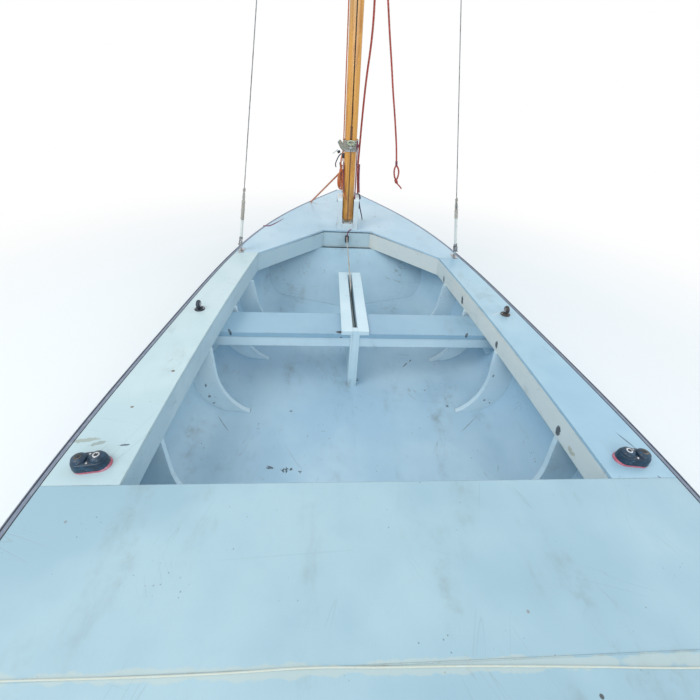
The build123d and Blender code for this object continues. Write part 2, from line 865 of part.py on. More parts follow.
# Boom band with an eye for a gooseneck, low on the mast
boom_band_z = deck_at_mast + boom_band_height
aft_face_y = mast_y - mast_depth / 2
eye_y = aft_face_y - band_thickness - gooseneck_reach / 2
with BuildPart() as boom_band:
    with BuildSketch(Plane.XY.offset(boom_band_z)):
        with Locations((0, mast_y)):
            RectangleRounded(mast_width + 2 * band_thickness, mast_depth + 2 * band_thickness,
                             mast_corner + band_thickness)
            RectangleRounded(mast_width, mast_depth, mast_corner, mode=Mode.SUBTRACT)
    extrude(amount=boom_band_length)
    with BuildSketch(Plane.XY.offset(boom_band_z + (boom_band_length - gooseneck_thickness) / 2)):
        with Locations((0, eye_y + gooseneck_seat / 2)):
            RectangleRounded(gooseneck_width, gooseneck_reach + gooseneck_seat, gooseneck_corner)
        with Locations((0, eye_y)):
            Circle(gooseneck_bore_radius, mode=Mode.SUBTRACT)
    extrude(amount=gooseneck_thickness)
    with BuildSketch(Plane.XY.offset(boom_band_z)):
        with Locations((0, mast_y)):
            RectangleRounded(mast_width, mast_depth, mast_corner)
    extrude(amount=boom_band_length, mode=Mode.SUBTRACT)
finish(boom_band.part, "boom_band")

# Hounds band with ears for the shrouds and the forestay
hounds_z = deck_at_mast + hounds_height
ear_x = mast_width / 2 + band_thickness + hounds_ear / 2
ear_y = mast_y + mast_depth / 2 + band_thickness + hounds_ear / 2
with BuildPart() as hounds_band:
    with BuildSketch(Plane.XY.offset(hounds_z - hounds_length / 2)):
        with Locations((0, mast_y)):
            RectangleRounded(mast_width + 2 * band_thickness, mast_depth + 2 * band_thickness,
                             mast_corner + band_thickness)
    extrude(amount=hounds_length)
    with BuildSketch(Plane.XY.offset(hounds_z - hounds_ear_thickness)):
        with Locations((0, mast_y)):
            Rectangle(2 * ear_x + hounds_ear, hounds_ear_width)
        with Locations((0, (mast_y + ear_y + hounds_ear / 2) / 2)):
            Rectangle(hounds_ear_width, ear_y + hounds_ear / 2 - mast_y)
    extrude(amount=hounds_ear_thickness)
    with BuildSketch(Plane.XY.offset(hounds_z - hounds_length)):
        with Locations((0, mast_y)):
            RectangleRounded(mast_width, mast_depth, mast_corner)
    extrude(amount=2 * hounds_length, mode=Mode.SUBTRACT)
finish(hounds_band.part, "hounds_band")

# Masthead cap with a halyard sheave cheek
tip_width = mast_width * mast_tip_scale
tip_depth = mast_depth * mast_tip_scale
tip_y = aft_face_y + tip_depth / 2
with BuildPart() as masthead_cap:
    with BuildSketch(Plane.XY.offset(mast_top_z)):
        with Locations((0, tip_y)):
            RectangleRounded(tip_width, tip_depth, mast_corner * mast_tip_scale)
    extrude(amount=masthead_wall)
    with BuildSketch(Plane.XY.offset(mast_top_z)):
        with Locations((0, aft_face_y - masthead_overhang + masthead_cheek_length / 2)):
            Rectangle(masthead_cheek_width, masthead_cheek_length)
    extrude(amount=masthead_cap_height)
finish(masthead_cap.part, "masthead_cap")

# Chainplates, a foot on the deck and an upright tab with a hole
chainplate_x = deck_half(chainplate_y) - chainplate_edge_gap
tab_top_z = freeboard + chainplate_pin_height + chainplate_width / 2
with BuildPart() as chainplates:
    for side in (-1, 1):
        x = side * chainplate_x
        add(
            block(x - chainplate_foot_width / 2, x + chainplate_foot_width / 2,
                  chainplate_y - chainplate_foot_length / 2, chainplate_y + chainplate_foot_length / 2,
                  freeboard - chainplate_seat, freeboard + chainplate_foot_thickness)
        )
        add(
            block(x - chainplate_thickness / 2, x + chainplate_thickness / 2,
                  chainplate_y - chainplate_width / 2, chainplate_y + chainplate_width / 2,
                  freeboard, tab_top_z)
        )
    fillet(
        chainplates.edges().filter_by(Axis.X).group_by(Axis.Z)[-1],
        radius=chainplate_width / 2 - 1,
    )
    add(below_top, mode=Mode.SUBTRACT)
    with BuildSketch(Plane.YZ.offset(-half_reach)):
        with Locations((chainplate_y, freeboard + chainplate_pin_height)):
            Circle(chainplate_pin_radius + chainplate_pin_clearance)
    extrude(amount=2 * half_reach, mode=Mode.SUBTRACT)
finish(chainplates.part, "chainplates")


def along(start, end, distance):
    """Point at a distance from the start on the line to the end."""
    return start + (end - start).normalized() * distance


def rod(start, end, radius):
    """Round bar between two points, for use outside a part block."""
    plane = Plane(origin=start, z_dir=(end - start))
    with BuildPart() as bar:
        with BuildSketch(plane):
            Circle(radius)
        extrude(amount=(end - start).length)
    return bar.part


# Eye on the starboard face of the mast, a plate with a lug
with BuildPart() as mast_eye:
    mast_face_x = mast_width / 2
    eye_z = deck_at_mast + eye_height
    lug_low_z = line_route[0][2]
    eye_y = line_route[0][1]
    add(
        block(mast_face_x, mast_face_x + eye_plate_thickness, eye_y - eye_plate_width / 2,
              eye_y + eye_plate_width / 2, eye_z - eye_plate_length / 2, eye_z + eye_plate_length / 2)
    )
    add(
        block(mast_face_x, mast_face_x + eye_plate_thickness + eye_lug_reach, eye_y - eye_lug_width / 2,
              eye_y + eye_lug_width / 2, lug_low_z, lug_low_z + eye_lug_height)
    )
finish(mast_eye.part, "mast_eye")

# Hanging line, a tube along straight runs and tangent arcs
line_points = [Vector(*point) for point in line_route]
line_radii = []
for before, corner, after in zip(line_points, line_points[1:], line_points[2:]):
    turn = (corner - before).get_angle(after - corner)
    run = min((corner - before).length, (after - corner).length)
    line_radii.append(0.45 * run / math.tan(math.radians(turn) / 2))
print("hanging line radii:", [round(radius) for radius in line_radii])
with BuildPart() as hanging_line:
    with BuildLine() as line_path:
        FilletPolyline(*line_points, radius=line_radii)
    with BuildSketch(Plane(origin=line_points[0], z_dir=line_points[1] - line_points[0])):
        Circle(line_diameter / 2)
    sweep()
line_length = line_path.wires()[0].length
print("hanging line length:", round(line_length), "volume share:",
      round(hanging_line.part.volume / (math.pi * line_diameter**2 / 4 * line_length), 4))
finish(hanging_line.part, "hanging_line")

# Loop, knot and tail at the end of the hanging line
neck_start = line_points[-1]
neck_end = along(neck_start, 2 * neck_start - line_points[-2], neck_length)
with BuildPart() as hanging_loop:
    with BuildLine(Plane.XZ.offset(-line_end_y)) as loop_path:
        FilletPolyline(*loop_outline, radius=[loop_turn] * len(loop_outline), close=True)
    loop_wire = loop_path.wires()[0]
    with BuildSketch(Plane(origin=loop_wire @ 0, z_dir=loop_wire % 0)):
        Circle(line_diameter / 2)
    sweep(path=loop_wire)
    add(rod(neck_start, neck_end, neck_radius))
    knot_low = Vector(knot_end[0], line_end_y, knot_end[1])
    add(rod(Vector(knot_start[0], line_end_y, knot_start[1]), knot_low, knot_radius))
    add(rod(knot_low, Vector(tail_end[0], line_end_y, tail_end[1]), line_diameter / 2))
finish(hanging_loop.part, "hanging_loop")

# Shrouds: fork and pin at the chainplate, sleeve, and wire up to the hounds
for name, side in (("shroud_port", -1), ("shroud_starboard", 1)):
    pin_point = Vector(side * chainplate_x, chainplate_y, freeboard + chainplate_pin_height)
    top_point = Vector(side * (ear_x + hounds_ear / 2 + wire_radius + end_gap), mast_y, hounds_z)
    fork_start = along(pin_point, top_point, -fork_tail)
    fork_end = along(pin_point, top_point, fork_length)
    with BuildPart() as shroud:
        add(rod(fork_start, fork_end, fork_radius))
        add(
            block(pin_point.X - fork_slot / 2, pin_point.X + fork_slot / 2,
                  pin_point.Y - fork_length, pin_point.Y + fork_length,
                  pin_point.Z - fork_length, pin_point.Z + fork_slot_height),
            mode=Mode.SUBTRACT,
        )
        with BuildSketch(Plane.YZ.offset(pin_point.X - fork_radius)):
            with Locations((pin_point.Y, pin_point.Z)):
                Circle(chainplate_pin_radius)
        extrude(amount=2 * fork_radius)
        add(rod(along(pin_point, top_point, fork_length - 1), top_point, wire_radius))
        add(
            rod(along(pin_point, top_point, sleeve_start),
                along(pin_point, top_point, sleeve_start + sleeve_length), sleeve_radius)
        )
    finish(shroud.part, name)

# Stemhead fitting with its tab and hole
stemhead_y = stem_y - stemhead_setback
stemhead_deck_z = sheer_height(stemhead_y)
stemhead_tab_top_z = stemhead_deck_z + stemhead_tab_height
with BuildPart() as stemhead_fitting:
    add(
        block(-stemhead_plate_width / 2, stemhead_plate_width / 2,
              stemhead_y - stemhead_plate_length / 2, stemhead_y + stemhead_plate_length / 2,
              stemhead_deck_z - deck_thickness, stemhead_deck_z + stemhead_plate_thickness)
    )
    add(
        block(-stemhead_tab_thickness / 2, stemhead_tab_thickness / 2,
              stemhead_y - stemhead_tab_width / 2, stemhead_y + stemhead_tab_width / 2,
              stemhead_deck_z, stemhead_tab_top_z)
    )
    add(below_top, mode=Mode.SUBTRACT)
    with BuildSketch(Plane.YZ.offset(-stemhead_tab_thickness)):
        with Locations((stemhead_y, stemhead_deck_z + stemhead_bore_height)):
            Circle(stemhead_bore_radius)
    extrude(amount=2 * stemhead_tab_thickness, mode=Mode.SUBTRACT)
finish(stemhead_fitting.part, "stemhead_fitting")

# Forestay from the hounds to the stemhead
forestay_low = Vector(0, stemhead_y, stemhead_tab_top_z + end_gap)
forestay_top = Vector(0, ear_y, hounds_z - hounds_ear_thickness)
with BuildPart() as forestay:
    add(rod(along(forestay_low, forestay_top, wire_radius), forestay_top, wire_radius))
    add(
        rod(along(forestay_low, forestay_top, wire_radius),
            along(forestay_low, forestay_top, wire_radius + forestay_sleeve_length), sleeve_radius)
    )
    add(hounds_band.part, mode=Mode.SUBTRACT)
finish(forestay.part, "forestay")

# Rubbing strips outside the deck edge
rub_form = hull_body(-rub_width)
rub_layer = sheer_slab(0, -rub_height)
for name, side in (("rub_strip_port", -1), ("rub_strip_starboard", 1)):
    with BuildPart() as rub_strip:
        add(rub_form)
        add(hull_form, mode=Mode.SUBTRACT)
        add(rub_layer, mode=Mode.INTERSECT)
        x_far = side * half_reach
        add(
            block(min(0, x_far), max(0, x_far), transom_y, stem_y, 0, cut_high_z),
            mode=Mode.INTERSECT,
        )
    finish(rub_strip.part, name)

# Cam cleats on their wedges, one on each side deck
for word, side in (("port", -1), ("starboard", 1)):
    seat = Plane(
        origin=(side * cleat_x, cleat_y, freeboard),
        x_dir=Vector(1, 0, 0).rotate(Axis.Z, -side * cleat_turn),
        z_dir=(0, 0, 1),
    )
    with BuildPart() as cleat_wedge:
        with BuildSketch(seat):
            SlotOverall(cleat_length, cleat_width)
        extrude(amount=wedge_height)
    finish(cleat_wedge.part, f"cleat_wedge_{word}")
    with BuildPart() as cam_cleat:
        with BuildSketch(seat.offset(wedge_height)):
            SlotOverall(cleat_length - 2 * cleat_base_margin, cleat_width - 2 * cleat_base_margin)
        extrude(amount=cleat_base_height)
        with BuildSketch(seat.offset(wedge_height + cleat_base_height)):
            with Locations((-cam_spacing / 2, 0), (cam_spacing / 2, 0)):
                Circle(cam_radius)
        extrude(amount=cam_height)
    finish(cam_cleat.part, f"cam_cleat_{word}")

    # Sheet lead on the side deck beside the thwart
    with BuildPart() as sheet_lead:
        with BuildSketch(Plane.XY.offset(freeboard)):
            with Locations((side * lead_x, lead_y)):
                Circle(lead_base_radius)
        extrude(amount=lead_base_height)
        lead_axis_z = freeboard + lead_base_height + lead_ring_radius - lead_seat
        with BuildSketch(Plane.YZ.offset(side * lead_x - lead_thickness / 2)):
            with Locations((lead_y, lead_axis_z)):
                Circle(lead_ring_radius)
                Circle(lead_bore_radius, mode=Mode.SUBTRACT)
        extrude(amount=lead_thickness)
        add(below_top, mode=Mode.SUBTRACT)
    finish(sheet_lead.part, f"sheet_lead_{word}")

# Clam cleat on the front coaming board
clam_face_y = opening_front_y
clam_top_z = coaming_top_z - clam_drop
with BuildPart() as clam_cleat:
    add(
        block(clam_x - clam_width / 2, clam_x + clam_width / 2, clam_face_y - clam_depth,
              clam_face_y + clam_seat, clam_top_z - clam_height, clam_top_z)
    )
    add(
        block(clam_x - clam_groove / 2, clam_x + clam_groove / 2, clam_face_y - clam_depth,
              clam_face_y - clam_depth / 3, clam_top_z - clam_height, clam_top_z),
        mode=Mode.SUBTRACT,
    )
    add(coaming_ring.part, mode=Mode.SUBTRACT)
finish(clam_cleat.part, "clam_cleat")

# Rudder gudgeons on the transom
with BuildPart() as rudder_gudgeons:
    for height in gudgeon_heights:
        add(
            block(-gudgeon_plate_width / 2, gudgeon_plate_width / 2,
                  transom_y - gudgeon_plate_thickness, transom_y,
                  height - gudgeon_thickness, height + gudgeon_thickness)
        )
        with BuildSketch(Plane.XY.offset(height - gudgeon_thickness / 2)):
            with Locations((0, transom_y - gudgeon_reach / 2)):
                Rectangle(gudgeon_width, gudgeon_reach)
            with Locations((0, transom_y - gudgeon_reach)):
                Circle(gudgeon_width / 2)
                Circle(gudgeon_bore_radius, mode=Mode.SUBTRACT)
        extrude(amount=gudgeon_thickness)
finish(rudder_gudgeons.part, "rudder_gudgeons")
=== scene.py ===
"""Dress the sailing dinghy: finishes, fittings, ropes, wear, light and camera."""
import logging
import math
from dataclasses import dataclass, field
from enum import Enum
from functools import cached_property
from typing import Callable, Optional, Sequence, Union

import bmesh
import bpy
from mathutils import Matrix, Vector
from mathutils.bvhtree import BVHTree


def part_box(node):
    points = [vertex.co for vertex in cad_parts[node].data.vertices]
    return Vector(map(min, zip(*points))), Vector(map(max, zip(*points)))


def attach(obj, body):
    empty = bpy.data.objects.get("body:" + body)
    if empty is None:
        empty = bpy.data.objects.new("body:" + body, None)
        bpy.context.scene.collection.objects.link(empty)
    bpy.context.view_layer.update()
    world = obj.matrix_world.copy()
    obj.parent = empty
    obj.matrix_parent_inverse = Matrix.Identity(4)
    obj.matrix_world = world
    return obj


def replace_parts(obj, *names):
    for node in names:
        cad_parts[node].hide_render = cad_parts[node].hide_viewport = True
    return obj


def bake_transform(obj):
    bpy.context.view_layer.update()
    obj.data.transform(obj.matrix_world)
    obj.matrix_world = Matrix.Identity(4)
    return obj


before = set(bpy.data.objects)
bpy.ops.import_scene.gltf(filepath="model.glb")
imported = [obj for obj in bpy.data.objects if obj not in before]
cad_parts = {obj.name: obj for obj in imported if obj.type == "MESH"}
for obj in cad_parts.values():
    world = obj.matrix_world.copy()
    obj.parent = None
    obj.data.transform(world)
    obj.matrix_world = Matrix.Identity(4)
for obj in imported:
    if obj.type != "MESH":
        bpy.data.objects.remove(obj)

log = logging.getLogger("dinghy")
DECK_Z = round(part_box("aft_deck")[1][2], 6)
UP = Vector((0.0, 0.0, 1.0))
AFT = Vector((0.0, -1.0, 0.0))
TO_STARBOARD = Vector((1.0, 0.0, 0.0))
Socket = bpy.types.NodeSocket
Rings = list[list[bmesh.types.BMVert]]
Feed = Union[Socket, "Tone", float, Sequence[float]]
Spot = tuple[float, float]
Place = tuple[float, float, float]
Profile = tuple[Spot, ...]
Levels = tuple[Place, ...]
Route = tuple[Place, ...]


class Side(Enum):
    """Sides of the boat, with the sign that X has there."""

    PORT = -1
    STARBOARD = 1

    @property
    def word(self) -> str:
        """The side's name as the frame's nodes spell it."""
        return self.name.lower()


class Body(Enum):
    """Bodies of the frame that pieces ride on."""

    HULL = "hull"
    MAST = "mast"
    SHROUD_PORT = "shroud_port"
    SHROUD_STARBOARD = "shroud_starboard"


class Stroke(Enum):
    """Direction of brush marks, as scales of the three coordinates."""

    ALONG = (150.0, 9.0, 60.0)
    ACROSS = (9.0, 150.0, 60.0)


@dataclass(frozen=True)
class Tone:
    """A colour as display values from 0 to 255."""

    red: float
    green: float
    blue: float

    def linear(self) -> tuple[float, float, float, float]:
        """The colour in scene values, with full alpha."""

        def channel(value: float) -> float:
            """One display value as a scene value."""
            share = value / 255.0
            if share <= 0.04045:
                return share / 12.92
            return ((share + 0.055) / 1.055) ** 2.4

        return channel(self.red), channel(self.green), channel(self.blue), 1.0


class Graph:
    """A material's node tree, with short calls that add nodes and join them."""

    def __init__(self, name: str) -> None:
        """Start a material with a principled shader.

        Args:
            name: Name of the material.
        """
        self.material = bpy.data.materials.new(name)
        self.material.use_nodes = True
        tree = self.material.node_tree
        self.nodes = tree.nodes
        self.links = tree.links
        self.nodes.clear()
        self.output = self.nodes.new("ShaderNodeOutputMaterial")
        self.shader = self.nodes.new("ShaderNodeBsdfPrincipled")
        self.links.new(self.shader.outputs["BSDF"], self.output.inputs["Surface"])
        coordinates = self.nodes.new("ShaderNodeTexCoord")
        self.place = coordinates.outputs["Object"]
        self.uv = coordinates.outputs["UV"]

    def feed(self, socket: Socket, value: Feed) -> None:
        """Join a socket to another one, or set its value.

        Args:
            socket: Input to be fed.
            value: Another socket, a tone or a plain value.
        """
        if isinstance(value, Socket):
            self.links.new(value, socket)
        elif isinstance(value, Tone):
            socket.default_value = value.linear()
        else:
            socket.default_value = value

    def add(self, kind: str, feeds: dict[Union[int, str], Feed],
            **settings: Union[int, str]) -> bpy.types.Node:
        """Add one node.

        Args:
            kind: Name of the node's type, without its prefix.
            feeds: What goes to each input, by name or number.
            settings: Values of the node's own properties.

        Returns:
            The new node.
        """
        node = self.nodes.new("ShaderNode" + kind)
        for name, value in settings.items():
            setattr(node, name, value)
        for name, value in feeds.items():
            self.feed(node.inputs[name], value)
        return node

    def math(self, operation: str, first: Feed, second: Feed = 0.0) -> Socket:
        """Result of a Math node, by Blender's name of the operation."""
        return self.add("Math", {0: first, 1: second}, operation=operation).outputs[0]

    def times(self, first: Feed, second: Feed) -> Socket:
        """Product of two values."""
        return self.math("MULTIPLY", first, second)

    def stretch(self, scales: Sequence[float]) -> Socket:
        """Coordinates multiplied by a scale on each axis."""
        return self.add("VectorMath", {0: self.place, 1: tuple(scales)}, operation="MULTIPLY").outputs[0]

    def turned(self, place: Place, turn: float, scale: Place) -> Socket:
        """Coordinates seen from a place, turned about Z and divided by a reach."""
        feeds = {"Vector": self.place, "Location": place, "Rotation": (0.0, 0.0, turn), "Scale": scale}
        return self.add("Mapping", feeds, vector_type="TEXTURE").outputs[0]

    def length(self, vector: Feed) -> Socket:
        """Length of a vector."""
        return self.add("VectorMath", {0: vector}, operation="LENGTH").outputs["Value"]

    def part(self, vector: Feed, axis: str) -> Socket:
        """One coordinate of a vector, by its letter."""
        return self.add("SeparateXYZ", {0: vector}).outputs[axis]

    def noise(self, scale: float, detail: float = 3.0, place: Optional[Feed] = None,
              rough: float = 0.55) -> Socket:
        """Cloudy noise from 0 to 1 over the surface.

        Args:
            scale: Clouds in each unit of the coordinates, about.
            detail: Levels of finer cloud in it.
            place: Coordinates, or None for the piece's own.
            rough: Weight of the finer levels.

        Returns:
            Value of the noise.
        """
        where = place if place is not None else self.place
        feeds = {"Vector": where, "Scale": scale, "Detail": detail, "Roughness": rough}
        return self.add("TexNoise", feeds).outputs["Fac"]

    def cells(self, scale: float) -> Socket:
        """Distance in a pattern of cells."""
        return self.add("TexVoronoi", {"Vector": self.place, "Scale": scale}).outputs["Distance"]

    def band(self, source: Feed, start: float, end: float, low: float = 0.0, high: float = 1.0) -> Socket:
        """A value that runs from low to high while the source goes from start to end."""
        feeds = {"Value": source, "From Min": start, "From Max": end, "To Min": low, "To Max": high}
        return self.add("MapRange", feeds, interpolation_type="SMOOTHSTEP").outputs["Result"]

    def mix(self, share: Feed, first: Feed, second: Feed) -> Socket:
        """Two colours mixed by a share."""
        return self.add("Mix", {"Factor": share, 6: first, 7: second}, data_type="RGBA").outputs[2]

    def bump(self, height: Feed, strength: float, distance: float, normal: Optional[Feed] = None) -> Socket:
        """A normal that is raised by a height.

        Args:
            height: Height at each point.
            strength: Share of the effect that counts.
            distance: Metres that a height of 1 stands for.
            normal: Normal below it, or None for the mesh's own.

        Returns:
            The new normal.
        """
        feeds = {"Strength": strength, "Distance": distance, "Height": height}
        if normal is not None:
            feeds["Normal"] = normal
        return self.add("Bump", feeds).outputs["Normal"]

    def rounded(self, radius: float) -> Socket:
        """A normal that rounds the edges of the mesh."""
        return self.add("Bevel", {"Radius": radius}, samples=4).outputs["Normal"]

    def edge(self, radius: float) -> Socket:
        """How far a point is turned by the rounding of an edge, from 0 to 1.

        Args:
            radius: Radius of the rounding.

        Returns:
            Share of edge at each point.
        """
        feeds = {0: self.add("NewGeometry", {}).outputs["Normal"], 1: self.rounded(radius)}
        facing = self.add("VectorMath", feeds, operation="DOT_PRODUCT").outputs["Value"]
        return self.band(self.math("SUBTRACT", 1.0, facing), 0.02, 0.22)

    def outer(self) -> Socket:
        """One on the sides that face away from the boat's middle, zero on those that face it."""
        normal = self.add("NewGeometry", {}).outputs["Normal"]
        return self.band(self.times(self.part(self.place, "X"), self.part(normal, "X")), 0.0, 0.02)

    def close(self, colour: Feed, roughness: Feed, normal: Feed) -> bpy.types.Material:
        """Join the main sockets of the shader and give the finished material.

        Args:
            colour: Base colour.
            roughness: Roughness from 0 to 1.
            normal: Normal of the surface.

        Returns:
            The finished material.
        """
        self.feed(self.shader.inputs["Base Color"], colour)
        self.feed(self.shader.inputs["Roughness"], roughness)
        self.feed(self.shader.inputs["Normal"], normal)
        return self.material


@dataclass(frozen=True)
class Mark:
    """One stain, scratch or dot at its own place on the surface, or a patch of painted shade in a gap between
    parts.
    """

    place: Place
    reach: Place
    tone: Tone
    strength: float = 0.8
    turn: float = 0.0
    ragged: float = 0.5
    grain: float = 40.0


@dataclass(frozen=True)
class AgedPaint:
    """Old gloss paint on plywood, chalky, scuffed and scratched by use."""

    name: str
    tone: Tone
    shade: Tone
    dirt: Tone = Tone(120, 122, 116)
    roughness: float = 0.38
    grime: float = 0.20
    scratches: float = 0.35
    specks: float = 0.5
    worn_edge: float = 0.35
    stroke: Stroke = Stroke.ALONG
    marks: tuple[Mark, ...] = ()
    waterline: bool = False
    edge_radius: float = 0.003

    def clouds(self, graph: Graph) -> Socket:
        """Broad patches of the second tone under finer mottling.

        Args:
            graph: Node tree of the material.

        Returns:
            Colour of the paint.
        """
        broad = graph.band(graph.noise(2.1, 4.0), 0.36, 0.64)
        colour = graph.mix(broad, self.tone, self.shade)
        fine = graph.band(graph.noise(23.0, 6.0, rough=0.7), 0.48, 0.78, 0.0, 0.32)
        return graph.mix(fine, colour, self.shade)

    def grimed(self, graph: Graph, colour: Feed) -> Socket:
        """Rubbed dirt in soft streaks and smears.

        Args:
            graph: Node tree of the material.
            colour: Colour below it.

        Returns:
            The new colour.
        """
        streak = graph.noise(3.2, 6.0, graph.stretch((2.6, 0.8, 2.0)), 0.62)
        smear = graph.noise(17.0, 5.0, rough=0.7)
        both = graph.times(graph.band(streak, 0.50, 0.74), graph.band(smear, 0.38, 0.70))
        share = graph.times(both, self.grime)
        return graph.mix(share, colour, self.dirt)

    def scratched(self, graph: Graph, colour: Feed) -> tuple[Socket, Socket]:
        """Fine scratches in three directions.

        Args:
            graph: Node tree of the material.
            colour: Colour below the scratches.

        Returns:
            The new colour and the share of scratch at each point.
        """
        total: Feed = 0.0
        for turn, scale, grain in ((0.5, 5.0, 2.3), (-0.35, 7.0, 3.1), (1.3, 4.0, 2.7)):
            lane = graph.turned((0.13 * grain, 0.0, 0.0), turn, (0.1, 1.6, 0.1))
            wavy = graph.noise(1.6, 2.0, lane)
            line = graph.band(graph.math("ABSOLUTE", graph.math("SUBTRACT", wavy, 0.5)), 0.0, 0.006, 1.0, 0.0)
            gate = graph.band(graph.noise(scale, 2.0), 0.56, 0.64)
            total = graph.math("MAXIMUM", total, graph.times(line, gate))
        share = graph.times(total, self.scratches)
        return graph.mix(share, colour, self.dirt), total

    def specked(self, graph: Graph, colour: Feed) -> Socket:
        """Small dark flecks and a few rust dots.

        Args:
            graph: Node tree of the material.
            colour: Colour below it.

        Returns:
            The new colour.
        """
        fleck = graph.band(graph.cells(62.0), 0.05, 0.13, 1.0, 0.0)
        gate = graph.band(graph.noise(9.0, 3.0), 0.55, 0.66)
        share = graph.times(graph.times(fleck, gate), self.specks)
        colour = graph.mix(share, colour, Tone(70, 66, 58))
        rust = graph.band(graph.cells(7.3), 0.012, 0.03, 1.0, 0.0)
        return graph.mix(graph.times(rust, self.specks), colour, Tone(120, 78, 46))

    def marked(self, graph: Graph, colour: Feed) -> Socket:
        """The marks that sit at their own places, kept off the outside of a skin.

        Args:
            graph: Node tree of the material.
            colour: Colour below it.

        Returns:
            The new colour.
        """
        inside: Feed = graph.math("SUBTRACT", 1.0, graph.outer()) if self.waterline and self.marks else 1.0
        for mark in self.marks:
            seen = graph.turned(mark.place, mark.turn, mark.reach)
            ragged = graph.times(graph.math("SUBTRACT", graph.noise(mark.grain, 4.0), 0.5),
                                2.0 * mark.ragged)
            far = graph.math("ADD", graph.length(seen), ragged)
            share = graph.times(graph.band(far, 0.72, 1.08, mark.strength, 0.0), inside)
            colour = graph.mix(share, colour, mark.tone)
        return colour

    @cached_property
    def material(self) -> bpy.types.Material:
        """The paint's node material."""
        graph = Graph(self.name)
        colour = self.grimed(graph, self.clouds(graph))
        colour, scratch = self.scratched(graph, colour)
        colour = self.specked(graph, colour)
        if self.waterline:
            height = graph.math("ADD", graph.part(graph.place, "Z"),
                                graph.times(graph.noise(6.0, 4.0), 0.03))
            scum = graph.times(graph.band(height, 0.005, 0.055, 0.55, 0.0), graph.outer())
            colour = graph.mix(scum, colour, Tone(128, 132, 104))
        colour = self.marked(graph, colour)
        patchy = graph.band(graph.noise(31.0, 4.0), 0.5, 0.62)
        bare = graph.times(graph.edge(self.edge_radius * 1.6), patchy)
        colour = graph.mix(graph.times(bare, self.worn_edge), colour, Tone(146, 138, 120))
        rough = graph.band(graph.noise(6.0, 5.0), 0.3, 0.7, self.roughness - 0.09, self.roughness + 0.12)
        strokes = graph.noise(1.0, 2.0, graph.stretch(self.stroke.value))
        normal = graph.bump(graph.noise(4.0, 2.0), 0.12, 0.012, graph.rounded(self.edge_radius))
        normal = graph.bump(strokes, 0.16, 0.0016, normal)
        normal = graph.bump(scratch, 0.25, -0.0008, normal)
        graph.shader.inputs["Coat Weight"].default_value = 0.18
        graph.shader.inputs["Coat Roughness"].default_value = 0.22
        return graph.close(colour, rough, normal)


@dataclass(frozen=True)
class Varnish:
    """Varnished softwood with grain along the spar, a glue line and handling wear."""

    name: str
    light: Tone = Tone(222, 158, 66)
    dark: Tone = Tone(162, 92, 32)
    line: Tone = Tone(54, 34, 22)
    glue_half: float = 0.0021
    heel_z: float = 0.39

    @cached_property
    def material(self) -> bpy.types.Material:
        """The varnish's node material."""
        graph = Graph(self.name)
        slow = graph.noise(1.0, 3.0, graph.stretch((22.0, 22.0, 1.1)))
        fibre = graph.noise(1.0, 5.0, graph.stretch((160.0, 160.0, 3.4)), 0.7)
        rings = graph.math("FRACT", graph.times(slow, 9.0))
        late = graph.band(rings, 0.55, 0.95)
        colour = graph.mix(graph.times(late, 0.55), self.light, self.dark)
        colour = graph.mix(graph.band(fibre, 0.45, 0.75, 0.0, 0.4), colour, self.dark)
        across = graph.math("ABSOLUTE", graph.part(graph.place, "X"))
        glue = graph.band(across, self.glue_half, self.glue_half * 2.0, 0.8, 0.0)
        colour = graph.mix(glue, colour, self.line)
        height = graph.part(graph.place, "Z")
        foot = graph.band(height, self.heel_z + 0.02, self.heel_z + 0.22, 0.55, 0.0)
        worn = graph.times(foot, graph.band(graph.noise(20.0, 4.0), 0.3, 0.7))
        colour = graph.mix(worn, colour, Tone(120, 62, 34))
        grey = graph.band(graph.noise(7.0, 5.0, graph.stretch((1.0, 1.0, 0.3))), 0.58, 0.75, 0.0, 0.45)
        colour = graph.mix(grey, colour, Tone(150, 128, 96))
        rough = graph.band(graph.noise(12.0, 4.0), 0.3, 0.7, 0.24, 0.42)
        normal = graph.bump(fibre, 0.16, 0.0008, graph.rounded(0.002))
        graph.shader.inputs["Coat Weight"].default_value = 0.55
        graph.shader.inputs["Coat Roughness"].default_value = 0.12
        return graph.close(colour, rough, normal)


@dataclass(frozen=True)
class Metal:
    """Stainless or galvanised metal, brushed, with dull patches."""

    name: str
    tone: Tone = Tone(196, 198, 202)
    dull: Tone = Tone(134, 134, 132)
    roughness: float = 0.28
    lay: float = 0.0

    @cached_property
    def material(self) -> bpy.types.Material:
        """The metal's node material."""
        graph = Graph(self.name)
        patch = graph.band(graph.noise(38.0, 5.0, rough=0.65), 0.42, 0.70)
        colour = graph.mix(patch, self.tone, self.dull)
        pits = graph.band(graph.cells(420.0), 0.03, 0.10, 0.5, 0.0)
        colour = graph.mix(graph.times(pits, patch), colour, Tone(96, 72, 54))
        rough = graph.band(patch, 0.0, 1.0, self.roughness, self.roughness + 0.25)
        hairs = graph.noise(1.0, 2.0, graph.stretch((900.0, 900.0, 40.0)))
        normal = graph.bump(hairs, 0.15, 0.0002, graph.rounded(0.0008))
        if self.lay:
            sum_xz = graph.math("ADD", graph.part(graph.place, "X"), graph.part(graph.place, "Z"))
            turns = graph.math("SINE", graph.times(sum_xz, self.lay))
            normal = graph.bump(turns, 0.7, 0.0006, normal)
        graph.shader.inputs["Metallic"].default_value = 1.0
        return graph.close(colour, rough, normal)


